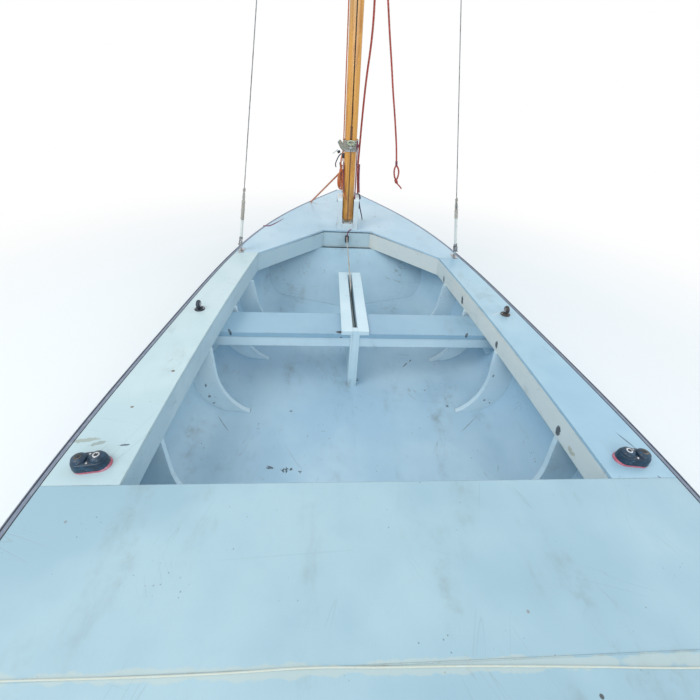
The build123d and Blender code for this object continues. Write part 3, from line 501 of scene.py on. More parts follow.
@dataclass(frozen=True)
class Plastic:
    """Moulded plastic, chalked by the sun, with fine mould texture."""

    name: str
    tone: Tone
    bleached: Tone
    roughness: float = 0.42

    @cached_property
    def material(self) -> bpy.types.Material:
        """The plastic's node material."""
        graph = Graph(self.name)
        chalk = graph.band(graph.noise(60.0, 5.0, rough=0.65), 0.44, 0.72, 0.0, 0.75)
        colour = graph.mix(chalk, self.tone, self.bleached)
        colour = graph.mix(graph.times(graph.edge(0.0012), 0.5), colour, self.bleached)
        dust = graph.band(graph.noise(210.0, 3.0), 0.62, 0.74, 0.0, 0.35)
        colour = graph.mix(dust, colour, Tone(150, 148, 140))
        rough = graph.band(chalk, 0.0, 0.75, self.roughness, self.roughness + 0.2)
        normal = graph.bump(graph.noise(1400.0, 2.0), 0.12, 0.0002, graph.rounded(0.0008))
        return graph.close(colour, rough, normal)


@dataclass(frozen=True)
class Braid:
    """Braided rope with flecks of a second yarn. Its mesh has lengths in rope diameters as U."""

    name: str
    tone: Tone
    fleck: Tone
    shadow: Tone
    fleck_share: float = 0.35
    soil: float = 0.3

    @cached_property
    def material(self) -> bpy.types.Material:
        """The rope's node material."""
        graph = Graph(self.name)
        along = graph.times(graph.part(graph.uv, "X"), 1.6)
        girth = graph.times(graph.part(graph.uv, "Y"), 6.0)
        phases = [graph.math(way, along, girth) for way in ("ADD", "SUBTRACT")]
        waves = [graph.math("SINE", graph.times(phase, math.tau)) for phase in phases]
        ridges = [graph.band(wave, -1.0, 1.0) for wave in waves]
        yarn = graph.math("MAXIMUM", ridges[0], ridges[1])
        rows = [graph.math("FLOOR", phase) for phase in phases]
        cell = graph.math("ADD", rows[0], graph.times(rows[1], 7.0))
        dice = graph.math("FRACT", graph.times(graph.math("SINE", graph.times(cell, 12.99)), 437.58))
        flecked = graph.math("LESS_THAN", dice, self.fleck_share)
        colour = graph.mix(flecked, self.tone, self.fleck)
        colour = graph.mix(graph.band(yarn, 0.55, 0.95, 0.75, 0.0), colour, self.shadow)
        dirty = graph.band(graph.noise(24.0, 4.0), 0.45, 0.7, 0.0, self.soil)
        colour = graph.mix(dirty, colour, Tone(112, 104, 92))
        fuzz = graph.noise(1900.0, 2.0)
        normal = graph.bump(yarn, 0.8, 0.0011)
        normal = graph.bump(fuzz, 0.25, 0.0004, normal)
        graph.shader.inputs["Sheen Weight"].default_value = 0.3
        return graph.close(colour, 0.82, normal)


Finish = Union[AgedPaint, Varnish, Metal, Plastic, Braid]


def around(steps: int, place: Callable[[float], Union[Vector, Spot]]) -> list:
    """What a function of the angle gives at equal steps round a circle."""
    return [place(math.tau * step / steps) for step in range(steps)]


@dataclass(frozen=True)
class Wrap:
    """Turns of rope that wrap round a line, as a knot does, with their centreline at a reach from it."""

    reach: float
    length: float
    turns: int
    radius: float
    steps: int = 14

    def points(self, centre: Vector, along: Vector) -> list[Vector]:
        """Points of the rope's centreline.

        Args:
            centre: Middle of the turns.
            along: Direction of the line that the rope wraps.

        Returns:
            Points from the first turn to the last.
        """
        heading = along.normalized()
        spoke = heading.orthogonal().normalized()
        beside = heading.cross(spoke)
        line = []
        for step in range(self.turns * self.steps + 1):
            share = step / (self.turns * self.steps)
            angle = math.tau * self.turns * share
            line.append(centre + heading * self.length * (share - 0.5)
                        + (spoke * math.cos(angle) + beside * math.sin(angle)) * self.reach)
        return line


@dataclass
class Form:
    """One piece in the making, built up from lathed, extruded and swept forms."""

    name: str
    mesh: bmesh.types.BMesh = field(default_factory=bmesh.new)

    def skin(self, rings: Rings, slot: int, closed: bool = False) -> None:
        """Join rings of corners with faces.

        Args:
            rings: Corners of each ring, in one order.
            slot: Number of the material.
            closed: True where the last ring joins the first.
        """
        count = len(rings)
        for index in range(count if closed else count - 1):
            ring = rings[index]
            following = rings[(index + 1) % count]
            sides = len(ring)
            for corner in range(sides):
                beside = (corner + 1) % sides
                face = self.mesh.faces.new((ring[corner], ring[beside], following[beside], following[corner]))
                face.material_index = slot

    def cap(self, ring: list[bmesh.types.BMVert], slot: int, flip: bool) -> None:
        """Close a ring of corners with one face."""
        face = self.mesh.faces.new(list(reversed(ring)) if flip else ring)
        face.material_index = slot

    def close_ends(self, rings: Rings, slot: int) -> None:
        """Join rings with faces and close both ends.

        Args:
            rings: Corners of each ring, in one order.
            slot: Number of the material.
        """
        self.skin(rings, slot)
        self.cap(rings[0], slot, True)
        self.cap(rings[-1], slot, False)

    def turned(self, profile: Sequence[Spot], base: Vector, axis: Vector, segments: int) -> Rings:
        """Rings of corners round an axis, one for each radius and height of the profile.

        Args:
            profile: Radius and height of each ring.
            base: Point where the height is zero.
            axis: Direction of the height.
            segments: Corners of a ring.

        Returns:
            The rings, in the profile's order.
        """
        up = axis.normalized()
        across = up.orthogonal().normalized()
        beside = up.cross(across)
        return [around(segments, lambda angle: self.mesh.verts.new(
            base + up * height + (across * math.cos(angle) + beside * math.sin(angle)) * max(radius, 1e-5)))
            for radius, height in profile]

    def lathe(self, profile: Sequence[Spot], base: Vector, axis: Vector, slot: int = 0,
              segments: int = 28) -> None:
        """Turn a profile round an axis into a solid with flat ends.

        Args:
            profile: Radius and height of each step.
            base: Point where the height is zero.
            axis: Direction of the height.
            slot: Number of the material.
            segments: Faces round the axis.
        """
        self.close_ends(self.turned(profile, base, axis, segments), slot)

    def collar(self, profile: Sequence[Spot], base: Vector, axis: Vector, slot: int = 0,
               segments: int = 32) -> None:
        """Turn a closed profile round an axis into a ring. Its values are those of a lathed form."""
        self.skin(self.turned(profile, base, axis, segments), slot, closed=True)

    def raised(self, levels: Sequence[tuple[float, Sequence[Spot]]], base: Vector, across: Vector,
               up: Vector, slot: int) -> None:
        """Raise a solid through an outline at each level.

        Args:
            levels: Height and outline of each level. Outlines run against the clock from the top.
            base: Origin of the outlines.
            across: Direction of an outline's first coordinate.
            up: Direction in which the solid rises.
            slot: Number of the material.
        """
        rise = up.normalized()
        first = across.normalized()
        second = rise.cross(first)
        self.close_ends([[self.mesh.verts.new(base + first * x + second * y + rise * height)
                          for x, y in outline] for height, outline in levels], slot)

    def prism(self, outline: Sequence[Spot], base: Vector, across: Vector, up: Vector, height: float,
              slot: int = 0, top_scale: float = 1.0) -> None:
        """Raise an outline into a solid whose top may be smaller than its foot.

        Args:
            outline: Corners against the clock from the top.
            base: Origin of the outline.
            across: Direction of its first coordinate.
            up: Direction in which the solid rises.
            height: How far it rises.
            slot: Number of the material.
            top_scale: Size of the top as a share of the foot's.
        """
        levels = [(level, [(x * scale, y * scale) for x, y in outline])
                  for level, scale in ((0.0, 1.0), (height, top_scale))]
        self.raised(levels, base, across, up, slot)

    def stack(self, levels: Sequence[Place], base: Vector, across: Vector, up: Vector, slot: int = 0) -> None:
        """Raise a bar with round ends. Each level holds its height, length and width."""
        self.raised([(height, slot_outline(length, width)) for height, length, width in levels],
                    base, across, up, slot)

    def screw(self, place: Vector, axis: Vector, radius: float, slot: int = 0) -> None:
        """Domed screw head with a shallow recess.

        Args:
            place: Point on the surface below the head.
            axis: Direction out of the surface.
            radius: Radius of the head.
            slot: Number of the material.
        """
        steps = ((0.82, 0.46), (0.42, 0.62), (0.34, 0.40), (0.1, 0.34))
        profile = [(radius, -0.001), (radius, radius * 0.18)]
        profile += [(radius * out, radius * high) for out, high in steps]
        self.lathe(profile, place, axis, slot, segments=16)

    def tube(self, points: Sequence[Vector], radius: float, slot: int = 0, sides: int = 10,
             closed: bool = False, taper: float = 0.0) -> None:
        """Sweep a round section along points, with lengths in diameters as U.

        Args:
            points: Points of the line.
            radius: Radius of the section.
            slot: Number of the material.
            sides: Faces round the section.
            closed: True where the line returns to its start.
            taper: Share of the radius lost at the last point.
        """
        layer = self.mesh.loops.layers.uv.get("UVMap") or self.mesh.loops.layers.uv.new("UVMap")
        count = len(points)
        heading = (points[1] - points[0]).normalized()
        spoke = heading.orthogonal().normalized()
        rings = []
        reach = [0.0]
        for index, point in enumerate(points):
            if closed:
                ahead = (points[(index + 1) % count] - points[index - 1]).normalized()
            else:
                ahead = (points[min(index + 1, count - 1)] - points[max(index - 1, 0)]).normalized()
            spoke = (spoke - ahead * spoke.dot(ahead)).normalized()
            beside = ahead.cross(spoke)
            size = radius * (1.0 - taper * index / max(count - 1, 1))
            rings.append(around(sides, lambda angle: self.mesh.verts.new(
                point + (spoke * math.cos(angle) + beside * math.sin(angle)) * size)))
            if index:
                reach.append(reach[-1] + (point - points[index - 1]).length)
        if closed:
            reach.append(reach[-1] + (points[0] - points[-1]).length)
        for index in range(count if closed else count - 1):
            ring = rings[index]
            following = rings[(index + 1) % count]
            low = reach[index] / (2 * radius)
            high = reach[index + 1] / (2 * radius)
            for corner in range(sides):
                beside_corner = (corner + 1) % sides
                face = self.mesh.faces.new((ring[corner], ring[beside_corner], following[beside_corner],
                                            following[corner]))
                face.material_index = slot
                turns = (corner / sides, (corner + 1) / sides)
                for loop, (u, v) in zip(face.loops, ((low, turns[0]), (low, turns[1]), (high, turns[1]),
                                                     (high, turns[0]))):
                    loop[layer].uv = (u, v)
        if not closed:
            self.cap(rings[0], slot, True)
            self.cap(rings[-1], slot, False)

    def rope(self, points: Sequence[Place], radius: float, slot: int = 0, sides: int = 10,
             closed: bool = False, taper: float = 0.0) -> None:
        """Sweep a round section along the smooth line that the points guide."""
        self.tube(smooth_line(points, closed), radius, slot, sides, closed, taper)

    def knot(self, centre: Vector, along: Vector, wrap: Wrap, slot: int = 0, sides: int = 10) -> None:
        """Wrap turns of rope round a line that runs through a centre."""
        self.tube(wrap.points(centre, along), wrap.radius, slot, sides)

    def piece(self, body: Optional[Body], finishes: Sequence[Finish],
              angle: float = 35.0) -> bpy.types.Object:
        """Finish the mesh and hang it on its body.

        Args:
            body: Body that the piece rides on, or None where it spans two.
            finishes: Finishes in the order of the slots used.
            angle: Edges sharper than this stay sharp, in degrees.

        Returns:
            The new object.
        """
        bmesh.ops.recalc_face_normals(self.mesh, faces=self.mesh.faces)
        data = bpy.data.meshes.new(self.name)
        self.mesh.to_mesh(data)
        self.mesh.free()
        for finish in finishes:
            data.materials.append(finish.material)
        data.shade_smooth()
        data.set_sharp_from_angle(angle=math.radians(angle))
        made = bpy.data.objects.new(self.name, data)
        bpy.context.scene.collection.objects.link(made)
        if body is not None:
            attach(made, body.value)
        log.info("%s: %d faces on %s", self.name, len(data.polygons), body.value if body else "two bodies")
        return made


def smooth_line(points: Sequence[Place], closed: bool = False) -> list[Vector]:
    """Points along a smooth line that a list of points guides.

    Args:
        points: Control points in metres.
        closed: True where the line returns to its start.

    Returns:
        Points of the line, close together.
    """
    data = bpy.data.curves.new("guide", "CURVE")
    data.dimensions = "3D"
    data.resolution_u = 10
    spline = data.splines.new("NURBS")
    spline.points.add(len(points) - 1)
    for control, point in zip(spline.points, points):
        control.co = (*point, 1.0)
    spline.order_u = 3
    spline.use_cyclic_u = closed
    spline.use_endpoint_u = not closed
    holder = bpy.data.objects.new("guide", data)
    bpy.context.scene.collection.objects.link(holder)
    bpy.context.view_layer.update()
    flat = bpy.data.meshes.new_from_object(holder)
    line = [vertex.co.copy() for vertex in flat.vertices]
    bpy.data.objects.remove(holder)
    bpy.data.curves.remove(data)
    bpy.data.meshes.remove(flat)
    return line


def slot_outline(length: float, width: float, steps: int = 10) -> list[Spot]:
    """Corners of a bar with round ends.

    Args:
        length: Length over both ends.
        width: Width of the bar.
        steps: Corners of one round end, less one.

    Returns:
        Corners against the clock.
    """
    radius = width / 2
    run = length / 2 - radius
    corners = []
    for centre, start in ((run, -90.0), (-run, 90.0)):
        for step in range(steps + 1):
            angle = math.radians(start + 180.0 * step / steps)
            corners.append((centre + radius * math.cos(angle), radius * math.sin(angle)))
    return corners


@dataclass(frozen=True)
class Palette:
    """Every finish of the boat, made once."""

    deck: AgedPaint = AgedPaint(
        "deck_paint", Tone(168, 196, 208), Tone(152, 184, 199), grime=0.38, scratches=0.16,
        marks=(
            Mark((0.316, -1.134, 0.34), (0.004, 0.004, 0.05), Tone(60, 60, 60), 0.9, 0.0, 0.1),
            Mark((-0.100, -1.086, 0.34), (0.90, 0.010, 0.05), Tone(196, 202, 190), 0.40, -0.012, 1.4, 22.0),
            Mark((-0.180, -0.905, 0.34), (0.14, 0.002, 0.05), Tone(150, 176, 186), 0.22, 0.05, 0.9, 40.0),
        ))
    side: AgedPaint = AgedPaint(
        "side_deck_paint", Tone(198, 217, 222), Tone(184, 207, 214), grime=0.34, scratches=0.22,
        marks=(
            Mark((-0.612, -0.634, 0.34), (0.014, 0.003, 0.05), Tone(44, 60, 80), 0.85, 0.1, 0.9, 150.0),
            Mark((-0.583, -0.354, 0.34), (0.006, 0.005, 0.05), Tone(96, 70, 52), 0.9, 0.0, 0.1),
            Mark((-0.644, -0.505, 0.34), (0.005, 0.004, 0.05), Tone(104, 80, 60), 0.8, 0.0, 0.1),
            Mark((-0.712, -0.618, 0.34), (0.034, 0.007, 0.05), Tone(150, 158, 146), 0.70, 0.10, 0.8, 90.0),
            Mark((-0.676, -0.628, 0.34), (0.020, 0.006, 0.05), Tone(138, 148, 138), 0.65, 0.35, 0.8, 90.0),
        ))
    # Starboard side deck: its tone is bluer and darker than the port side deck's, which is painted shade.
    side_starboard: AgedPaint = AgedPaint(
        "starboard_deck_paint_shaded", Tone(172, 203, 219), Tone(152, 188, 209), grime=0.28, scratches=0.24,
        marks=(
            Mark((0.688, -0.628, 0.34), (0.003, 0.034, 0.05), Tone(52, 84, 104), 0.7, 0.35, 0.4),
            Mark((0.637, -0.690, 0.34), (0.010, 0.003, 0.05), Tone(48, 74, 92), 0.7, 0.3, 0.5),
            Mark((0.703, -0.748, 0.34), (0.003, 0.012, 0.05), Tone(40, 76, 92), 0.8, 0.5, 0.2),
            Mark((0.560, 0.010, 0.34), (0.030, 0.004, 0.05), Tone(206, 216, 220), 0.6, 0.5, 0.6, 60.0),
        ))
    fore: AgedPaint = AgedPaint("fore_deck_paint", Tone(192, 215, 229), Tone(174, 203, 221), grime=0.2)
    tabernacle: AgedPaint = AgedPaint("tabernacle_paint", Tone(222, 232, 236), Tone(206, 220, 228), grime=0.4,
                                      worn_edge=0.7)
    hull: AgedPaint = AgedPaint("hull_paint", Tone(208, 216, 220), Tone(190, 202, 208), roughness=0.30,
                                grime=0.35, waterline=True)
    coaming: AgedPaint = AgedPaint("coaming_paint", Tone(204, 222, 228), Tone(190, 212, 221), grime=0.34,
                                   worn_edge=0.6)
    # Starboard coaming: its warm cream tone is painted sunlight, and the four near-black marks at the frame
    # tops are painted shade in the gaps there.
    coaming_sunlit: AgedPaint = AgedPaint(
        "coaming_sunlit_paint", Tone(234, 234, 226), Tone(222, 228, 226), grime=0.34, worn_edge=0.6,
        marks=(
            Mark((0.477, 0.466, 0.262), (0.006, 0.010, 0.022), Tone(60, 56, 62), 0.8, 0.0, 0.8, 120.0),
            Mark((0.505, 0.238, 0.272), (0.007, 0.012, 0.028), Tone(36, 34, 42), 0.9, 0.0, 0.6, 120.0),
            Mark((0.540, -0.105, 0.272), (0.007, 0.010, 0.020), Tone(40, 38, 44), 0.9, 0.0, 0.6, 120.0),
            Mark((0.575, -0.533, 0.270), (0.007, 0.012, 0.024), Tone(36, 34, 46), 0.9, 0.0, 0.6, 120.0),
            Mark((0.580, -0.605, 0.262), (0.010, 0.020, 0.010), Tone(170, 158, 122), 0.6, 0.0, 1.2, 90.0),
        ))
    cockpit: AgedPaint = AgedPaint(
        "cockpit_paint", Tone(214, 233, 242), Tone(196, 220, 233), roughness=0.46, grime=0.34,
        scratches=0.3, specks=1.0, worn_edge=0.35,
        marks=(
            Mark((-0.574, -0.164, 0.105), (0.004, 0.020, 0.007), Tone(60, 62, 66), 0.75, 0.0, 1.8, 240.0),
            Mark((-0.565, -0.178, 0.062), (0.005, 0.020, 0.005), Tone(64, 66, 70), 0.75, 0.0, 1.8, 240.0),
            Mark((-0.550, -0.190, 0.035), (0.005, 0.020, 0.004), Tone(70, 72, 76), 0.70, 0.0, 1.8, 240.0),
            Mark((0.548, -0.149, 0.150), (0.004, 0.020, 0.006), Tone(72, 74, 78), 0.7, 0.0, 1.8, 240.0),
            Mark((0.528, -0.182, 0.048), (0.005, 0.020, 0.004), Tone(74, 76, 80), 0.7, 0.0, 1.8, 240.0),
        ))
    bulkhead: AgedPaint = AgedPaint("bulkhead_paint", Tone(176, 205, 221), Tone(158, 190, 209),
                                    roughness=0.5, grime=0.45, scratches=0.7)
    well: AgedPaint = AgedPaint(
        "well_paint", Tone(187, 215, 231), Tone(167, 200, 221), roughness=0.5, grime=0.50, scratches=0.32,
        specks=1.0, waterline=True,
        marks=(
            Mark((-0.256, -0.456, -0.020), (0.010, 0.008, 0.06), Tone(40, 46, 60), 0.9, 0.0, 2.8, 150.0),
            Mark((-0.236, -0.452, -0.020), (0.005, 0.005, 0.06), Tone(40, 46, 60), 0.9, 0.4, 1.8, 190.0),
            Mark((-0.204, -0.461, -0.024), (0.006, 0.005, 0.06), Tone(52, 54, 64), 0.8, 0.0, 2.0, 190.0),
            Mark((-0.307, -0.450, -0.015), (0.012, 0.007, 0.06), Tone(56, 60, 70), 0.8, 0.1, 2.4, 150.0),
            Mark((-0.256, -0.176, -0.021), (0.005, 0.005, 0.06), Tone(58, 60, 70), 0.7, 0.0, 1.8, 190.0),
            Mark((0.027, 0.040, -0.044), (0.007, 0.007, 0.06), Tone(52, 56, 66), 0.8, 0.0, 2.2, 170.0),
            Mark((0.260, 0.122, -0.020), (0.018, 0.003, 0.06), Tone(44, 46, 54), 0.8, 0.9, 0.9, 120.0),
            Mark((0.290, 0.150, -0.016), (0.010, 0.003, 0.06), Tone(44, 46, 54), 0.8, 1.0, 0.9, 120.0),
            Mark((0.390, -0.160, -0.009), (0.006, 0.006, 0.06), Tone(60, 62, 70), 0.7, 0.0, 2.0, 190.0),
            Mark((-0.503, -0.264, 0.005), (0.048, 0.0022, 0.05), Tone(120, 130, 136), 0.6, -0.92, 1.0, 200.0),
            Mark((0.449, -0.266, -0.003), (0.052, 0.0022, 0.05), Tone(124, 132, 136), 0.6, 0.72, 1.0, 200.0),
        ))
    thwart: AgedPaint = AgedPaint(
        "thwart_paint", Tone(150, 184, 205), Tone(138, 173, 197), grime=0.46, stroke=Stroke.ACROSS,
        worn_edge=0.7,
        marks=(
            # The near-black patches beside the trunk and the dark marks at the thwart's ends are painted shade
            # where the thwart meets the trunk and the hull.
            Mark((-0.060, 0.012, 0.240), (0.018, 0.010, 0.014), Tone(18, 22, 28), 0.95, 0.0, 0.5, 90.0),
            Mark((0.034, 0.012, 0.240), (0.016, 0.008, 0.010), Tone(30, 34, 40), 0.85, 0.0, 0.8, 120.0),
            Mark((-0.499, 0.006, 0.236), (0.005, 0.020, 0.014), Tone(44, 50, 58), 0.8, 0.5, 0.8, 60.0),
            Mark((0.464, 0.006, 0.236), (0.005, 0.020, 0.014), Tone(44, 50, 58), 0.8, -0.5, 0.8, 60.0),
            Mark((-0.057, -0.002, 0.222), (0.005, 0.010, 0.004), Tone(26, 28, 34), 0.95, 0.0, 0.4, 90.0),
        ))
    apron: AgedPaint = AgedPaint("apron_paint", Tone(206, 226, 236), Tone(190, 214, 228), grime=0.3,
                                 stroke=Stroke.ACROSS, worn_edge=0.7)
    trunk: AgedPaint = AgedPaint("trunk_paint", Tone(212, 232, 240), Tone(196, 220, 232), grime=0.4,
                                 specks=1.0)
    board: AgedPaint = AgedPaint("board_paint", Tone(176, 184, 180), Tone(150, 158, 156), grime=0.6)
    varnish: Varnish = Varnish("mast_varnish")
    bright: Metal = Metal("bright_metal")
    cable: Metal = Metal("wire_rope", Tone(150, 152, 156), Tone(104, 104, 104), 0.4, 1400.0)
    black: Plastic = Plastic("black_plastic", Tone(28, 38, 50), Tone(62, 78, 94))
    red: Plastic = Plastic("red_plastic", Tone(176, 84, 104), Tone(206, 150, 168))
    white_plastic: Plastic = Plastic("white_sleeve", Tone(216, 220, 218), Tone(188, 194, 190))
    dull: Metal = Metal("dull_metal", Tone(120, 118, 112), Tone(78, 76, 72), 0.45)
    cleat_black: Plastic = Plastic("cleat_plastic", Tone(18, 44, 66), Tone(48, 86, 112), 0.34)
    lead_brown: Plastic = Plastic("lead_plastic", Tone(44, 42, 44), Tone(96, 90, 86), 0.44)
    ring_green: Plastic = Plastic("ring_plastic", Tone(176, 186, 158), Tone(206, 210, 190), 0.5)
    sealant: Plastic = Plastic("seam_sealant", Tone(200, 206, 196), Tone(202, 214, 212), 0.6)
    strip: Plastic = Plastic("rub_strip", Tone(120, 130, 150), Tone(150, 158, 172), 0.5)
    strip_dark: Plastic = Plastic("rub_bead", Tone(40, 46, 58), Tone(66, 72, 84), 0.5)
    red_rope: Braid = Braid("red_rope", Tone(186, 58, 52), Tone(214, 112, 96), Tone(96, 24, 30))
    orange_rope: Braid = Braid("orange_rope", Tone(214, 104, 44), Tone(232, 150, 92), Tone(126, 48, 22))
    purple_rope: Braid = Braid("purple_rope", Tone(112, 40, 84), Tone(176, 70, 96), Tone(48, 18, 48))
    navy_rope: Braid = Braid("navy_rope", Tone(34, 40, 70), Tone(70, 72, 104), Tone(14, 16, 34))
    white_rope: Braid = Braid("white_rope", Tone(206, 204, 196), Tone(206, 140, 104), Tone(120, 116, 108),
                              0.12)
    webbing: Braid = Braid("grey_webbing", Tone(166, 164, 150), Tone(190, 188, 176), Tone(108, 106, 98), 0.3)


@dataclass(frozen=True)
class Carried:
    """Finishes for the frame's own nodes."""

    palette: Palette

    def finish_of(self, node: str) -> Optional[bpy.types.Material]:
        """Material for one node, or None where no row names it.

        Args:
            node: Name of the node.

        Returns:
            The material of the first row with a start that fits the name.
        """
        look = self.palette
        table = (
            (("side_deck_starboard",), look.side_starboard),
            (("side_deck",), look.side),
            (("aft_deck", "stern_deck"), look.deck),
            (("tabernacle_base", "tabernacle_cheeks"), look.tabernacle),
            (("bow_deck", "foredeck"), look.fore),
            (("hull_skin",), look.well),
            (("transom", "stem_post", "keel_strip", "skeg"), look.hull),
            (("coaming_side_starboard", "coaming_corner_starboard"), look.coaming_sunlit),
            (("coaming",), look.coaming),
            (("thwart_apron", "thwart_knees"), look.apron),
            (("thwart",), look.thwart),
            (("fore_bulkhead",), look.bulkhead),
            (("trunk",), look.trunk),
            (("aft_bulkhead", "frame"), look.cockpit),
            (("centreboard_bolt", "tabernacle_bolt", "mast_bolt", "boom_band", "hounds_band", "masthead",
              "chainplates", "stemhead", "rudder", "mast_eye"), look.bright),
            (("centreboard",), look.board),
            (("mast",), look.varnish),
            (("rub_strip",), look.strip),
            (("shroud", "forestay"), look.cable),
            (("cleat_wedge",), look.red),
            (("cam_cleat", "sheet_lead", "clam_cleat"), look.black),
            (("hanging",), look.red_rope),
        )
        for starts, finish in table:
            if node.startswith(starts):
                return finish.material
        return None

    def dress(self) -> None:
        """Give every node its material."""
        for name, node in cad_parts.items():
            material = self.finish_of(name)
            if material is None:
                log.warning("no finish for %s", name)
                continue
            if not node.material_slots:
                node.data.materials.append(material)
            for slot in node.material_slots:
                slot.link = "OBJECT"
                slot.material = material


def wound(middle: Vector, half: tuple[float, float], low: float, high: float, turns: float,
          square: float = 5.0, steps: int = 28) -> list[Vector]:
    """Points of a rope wound round an upright post.

    Args:
        middle: A point on the post's axis, whose height doesn't count.
        half: Half sizes of the rope's path along X and Y.
        low: Height of the first point.
        high: Height of the last point.
        turns: Number of turns.
        square: 2 for a round post, more for a squarer one.
        steps: Points in one turn.

    Returns:
        Points of the rope's centreline.
    """
    count = int(turns * steps)
    line = []
    for step in range(count + 1):
        angle = math.tau * step / steps
        side = math.copysign(abs(math.cos(angle)) ** (2 / square), math.cos(angle))
        front = math.copysign(abs(math.sin(angle)) ** (2 / square), math.sin(angle))
        line.append(Vector((middle.x + half[0] * side, middle.y + half[1] * front,
                            low + (high - low) * step / count)))
    return line


@dataclass
class HangingLine:
    """Free end of the red halyard, hung from the mast in a long easy curve."""

    palette: Palette
    diameter: float = 0.009
    length: float = 1.237
    plane: float = 0.960
    route: Route = (
        (0.042, 0.948, 1.918), (0.043, 0.9485, 1.862), (0.051, 0.950, 1.786), (0.066, 0.952, 1.694),
        (0.085, 0.955, 1.598), (0.103, 0.957, 1.506), (0.119, 0.9585, 1.420), (0.1375, 0.960, 1.326),
        (0.156, 0.961, 1.222), (0.177, 0.9615, 1.118), (0.196, 0.961, 1.012), (0.215, 0.960, 0.922),
        (0.2325, 0.959, 0.830), (0.245, 0.959, 0.758), (0.252, 0.960, 0.700),
    )
    eye: Profile = ((0.253, 0.688), (0.271, 0.660), (0.270, 0.628), (0.261, 0.606), (0.248, 0.630),
                    (0.2435, 0.662))
    knot: Profile = ((0.257, 0.614), (0.267, 0.592))
    tail: Spot = (0.296, 0.5655)
    whipping_length: float = 0.020
    whipping_turns: int = 6
    knot_length: float = 0.017
    knot_turns: int = 3
    tail_sag: float = 0.004

    def at(self, spot: Spot) -> Vector:
        """A point in the line's own plane."""
        return Vector((spot[0], self.plane, spot[1]))

    def end(self) -> bpy.types.Object:
        """Eye at the rope's end, with its whipping, knot and short tail.

        Returns:
            The new piece.
        """
        form = Form("hanging_eye")
        radius = self.diameter / 2
        form.rope([self.at(spot) for spot in self.eye], radius, closed=True)
        foot = Vector(self.route[-1])
        neck = self.at(self.eye[0])
        half_way = foot.lerp(neck, 0.5)
        form.tube([foot, half_way, neck], radius)
        whipping = Wrap(radius * 1.05, self.whipping_length, self.whipping_turns, radius * 0.42)
        form.knot(half_way, neck - foot, whipping, 1, 8)
        first, second = (self.at(spot) for spot in self.knot)
        stopper = Wrap(radius * 1.15, self.knot_length, self.knot_turns, radius * 0.86)
        form.knot(first.lerp(second, 0.5), second - first, stopper)
        end = self.at(self.tail)
        bend = second.lerp(end, 0.5) + Vector((self.tail_sag, 0, 0))
        form.rope([first, second, bend, end], radius * 0.8)
        return form.piece(Body.MAST, (self.palette.red_rope, self.palette.purple_rope))

    def build(self) -> None:
        """Make the rope and its end."""
        line = smooth_line(self.route)
        form = Form("hanging_rope")
        form.tube(line, self.diameter / 2, sides=12)
        rope = form.piece(Body.MAST, (self.palette.red_rope,))
        end = self.end()
        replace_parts(rope, "hanging_line")
        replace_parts(end, "hanging_loop")


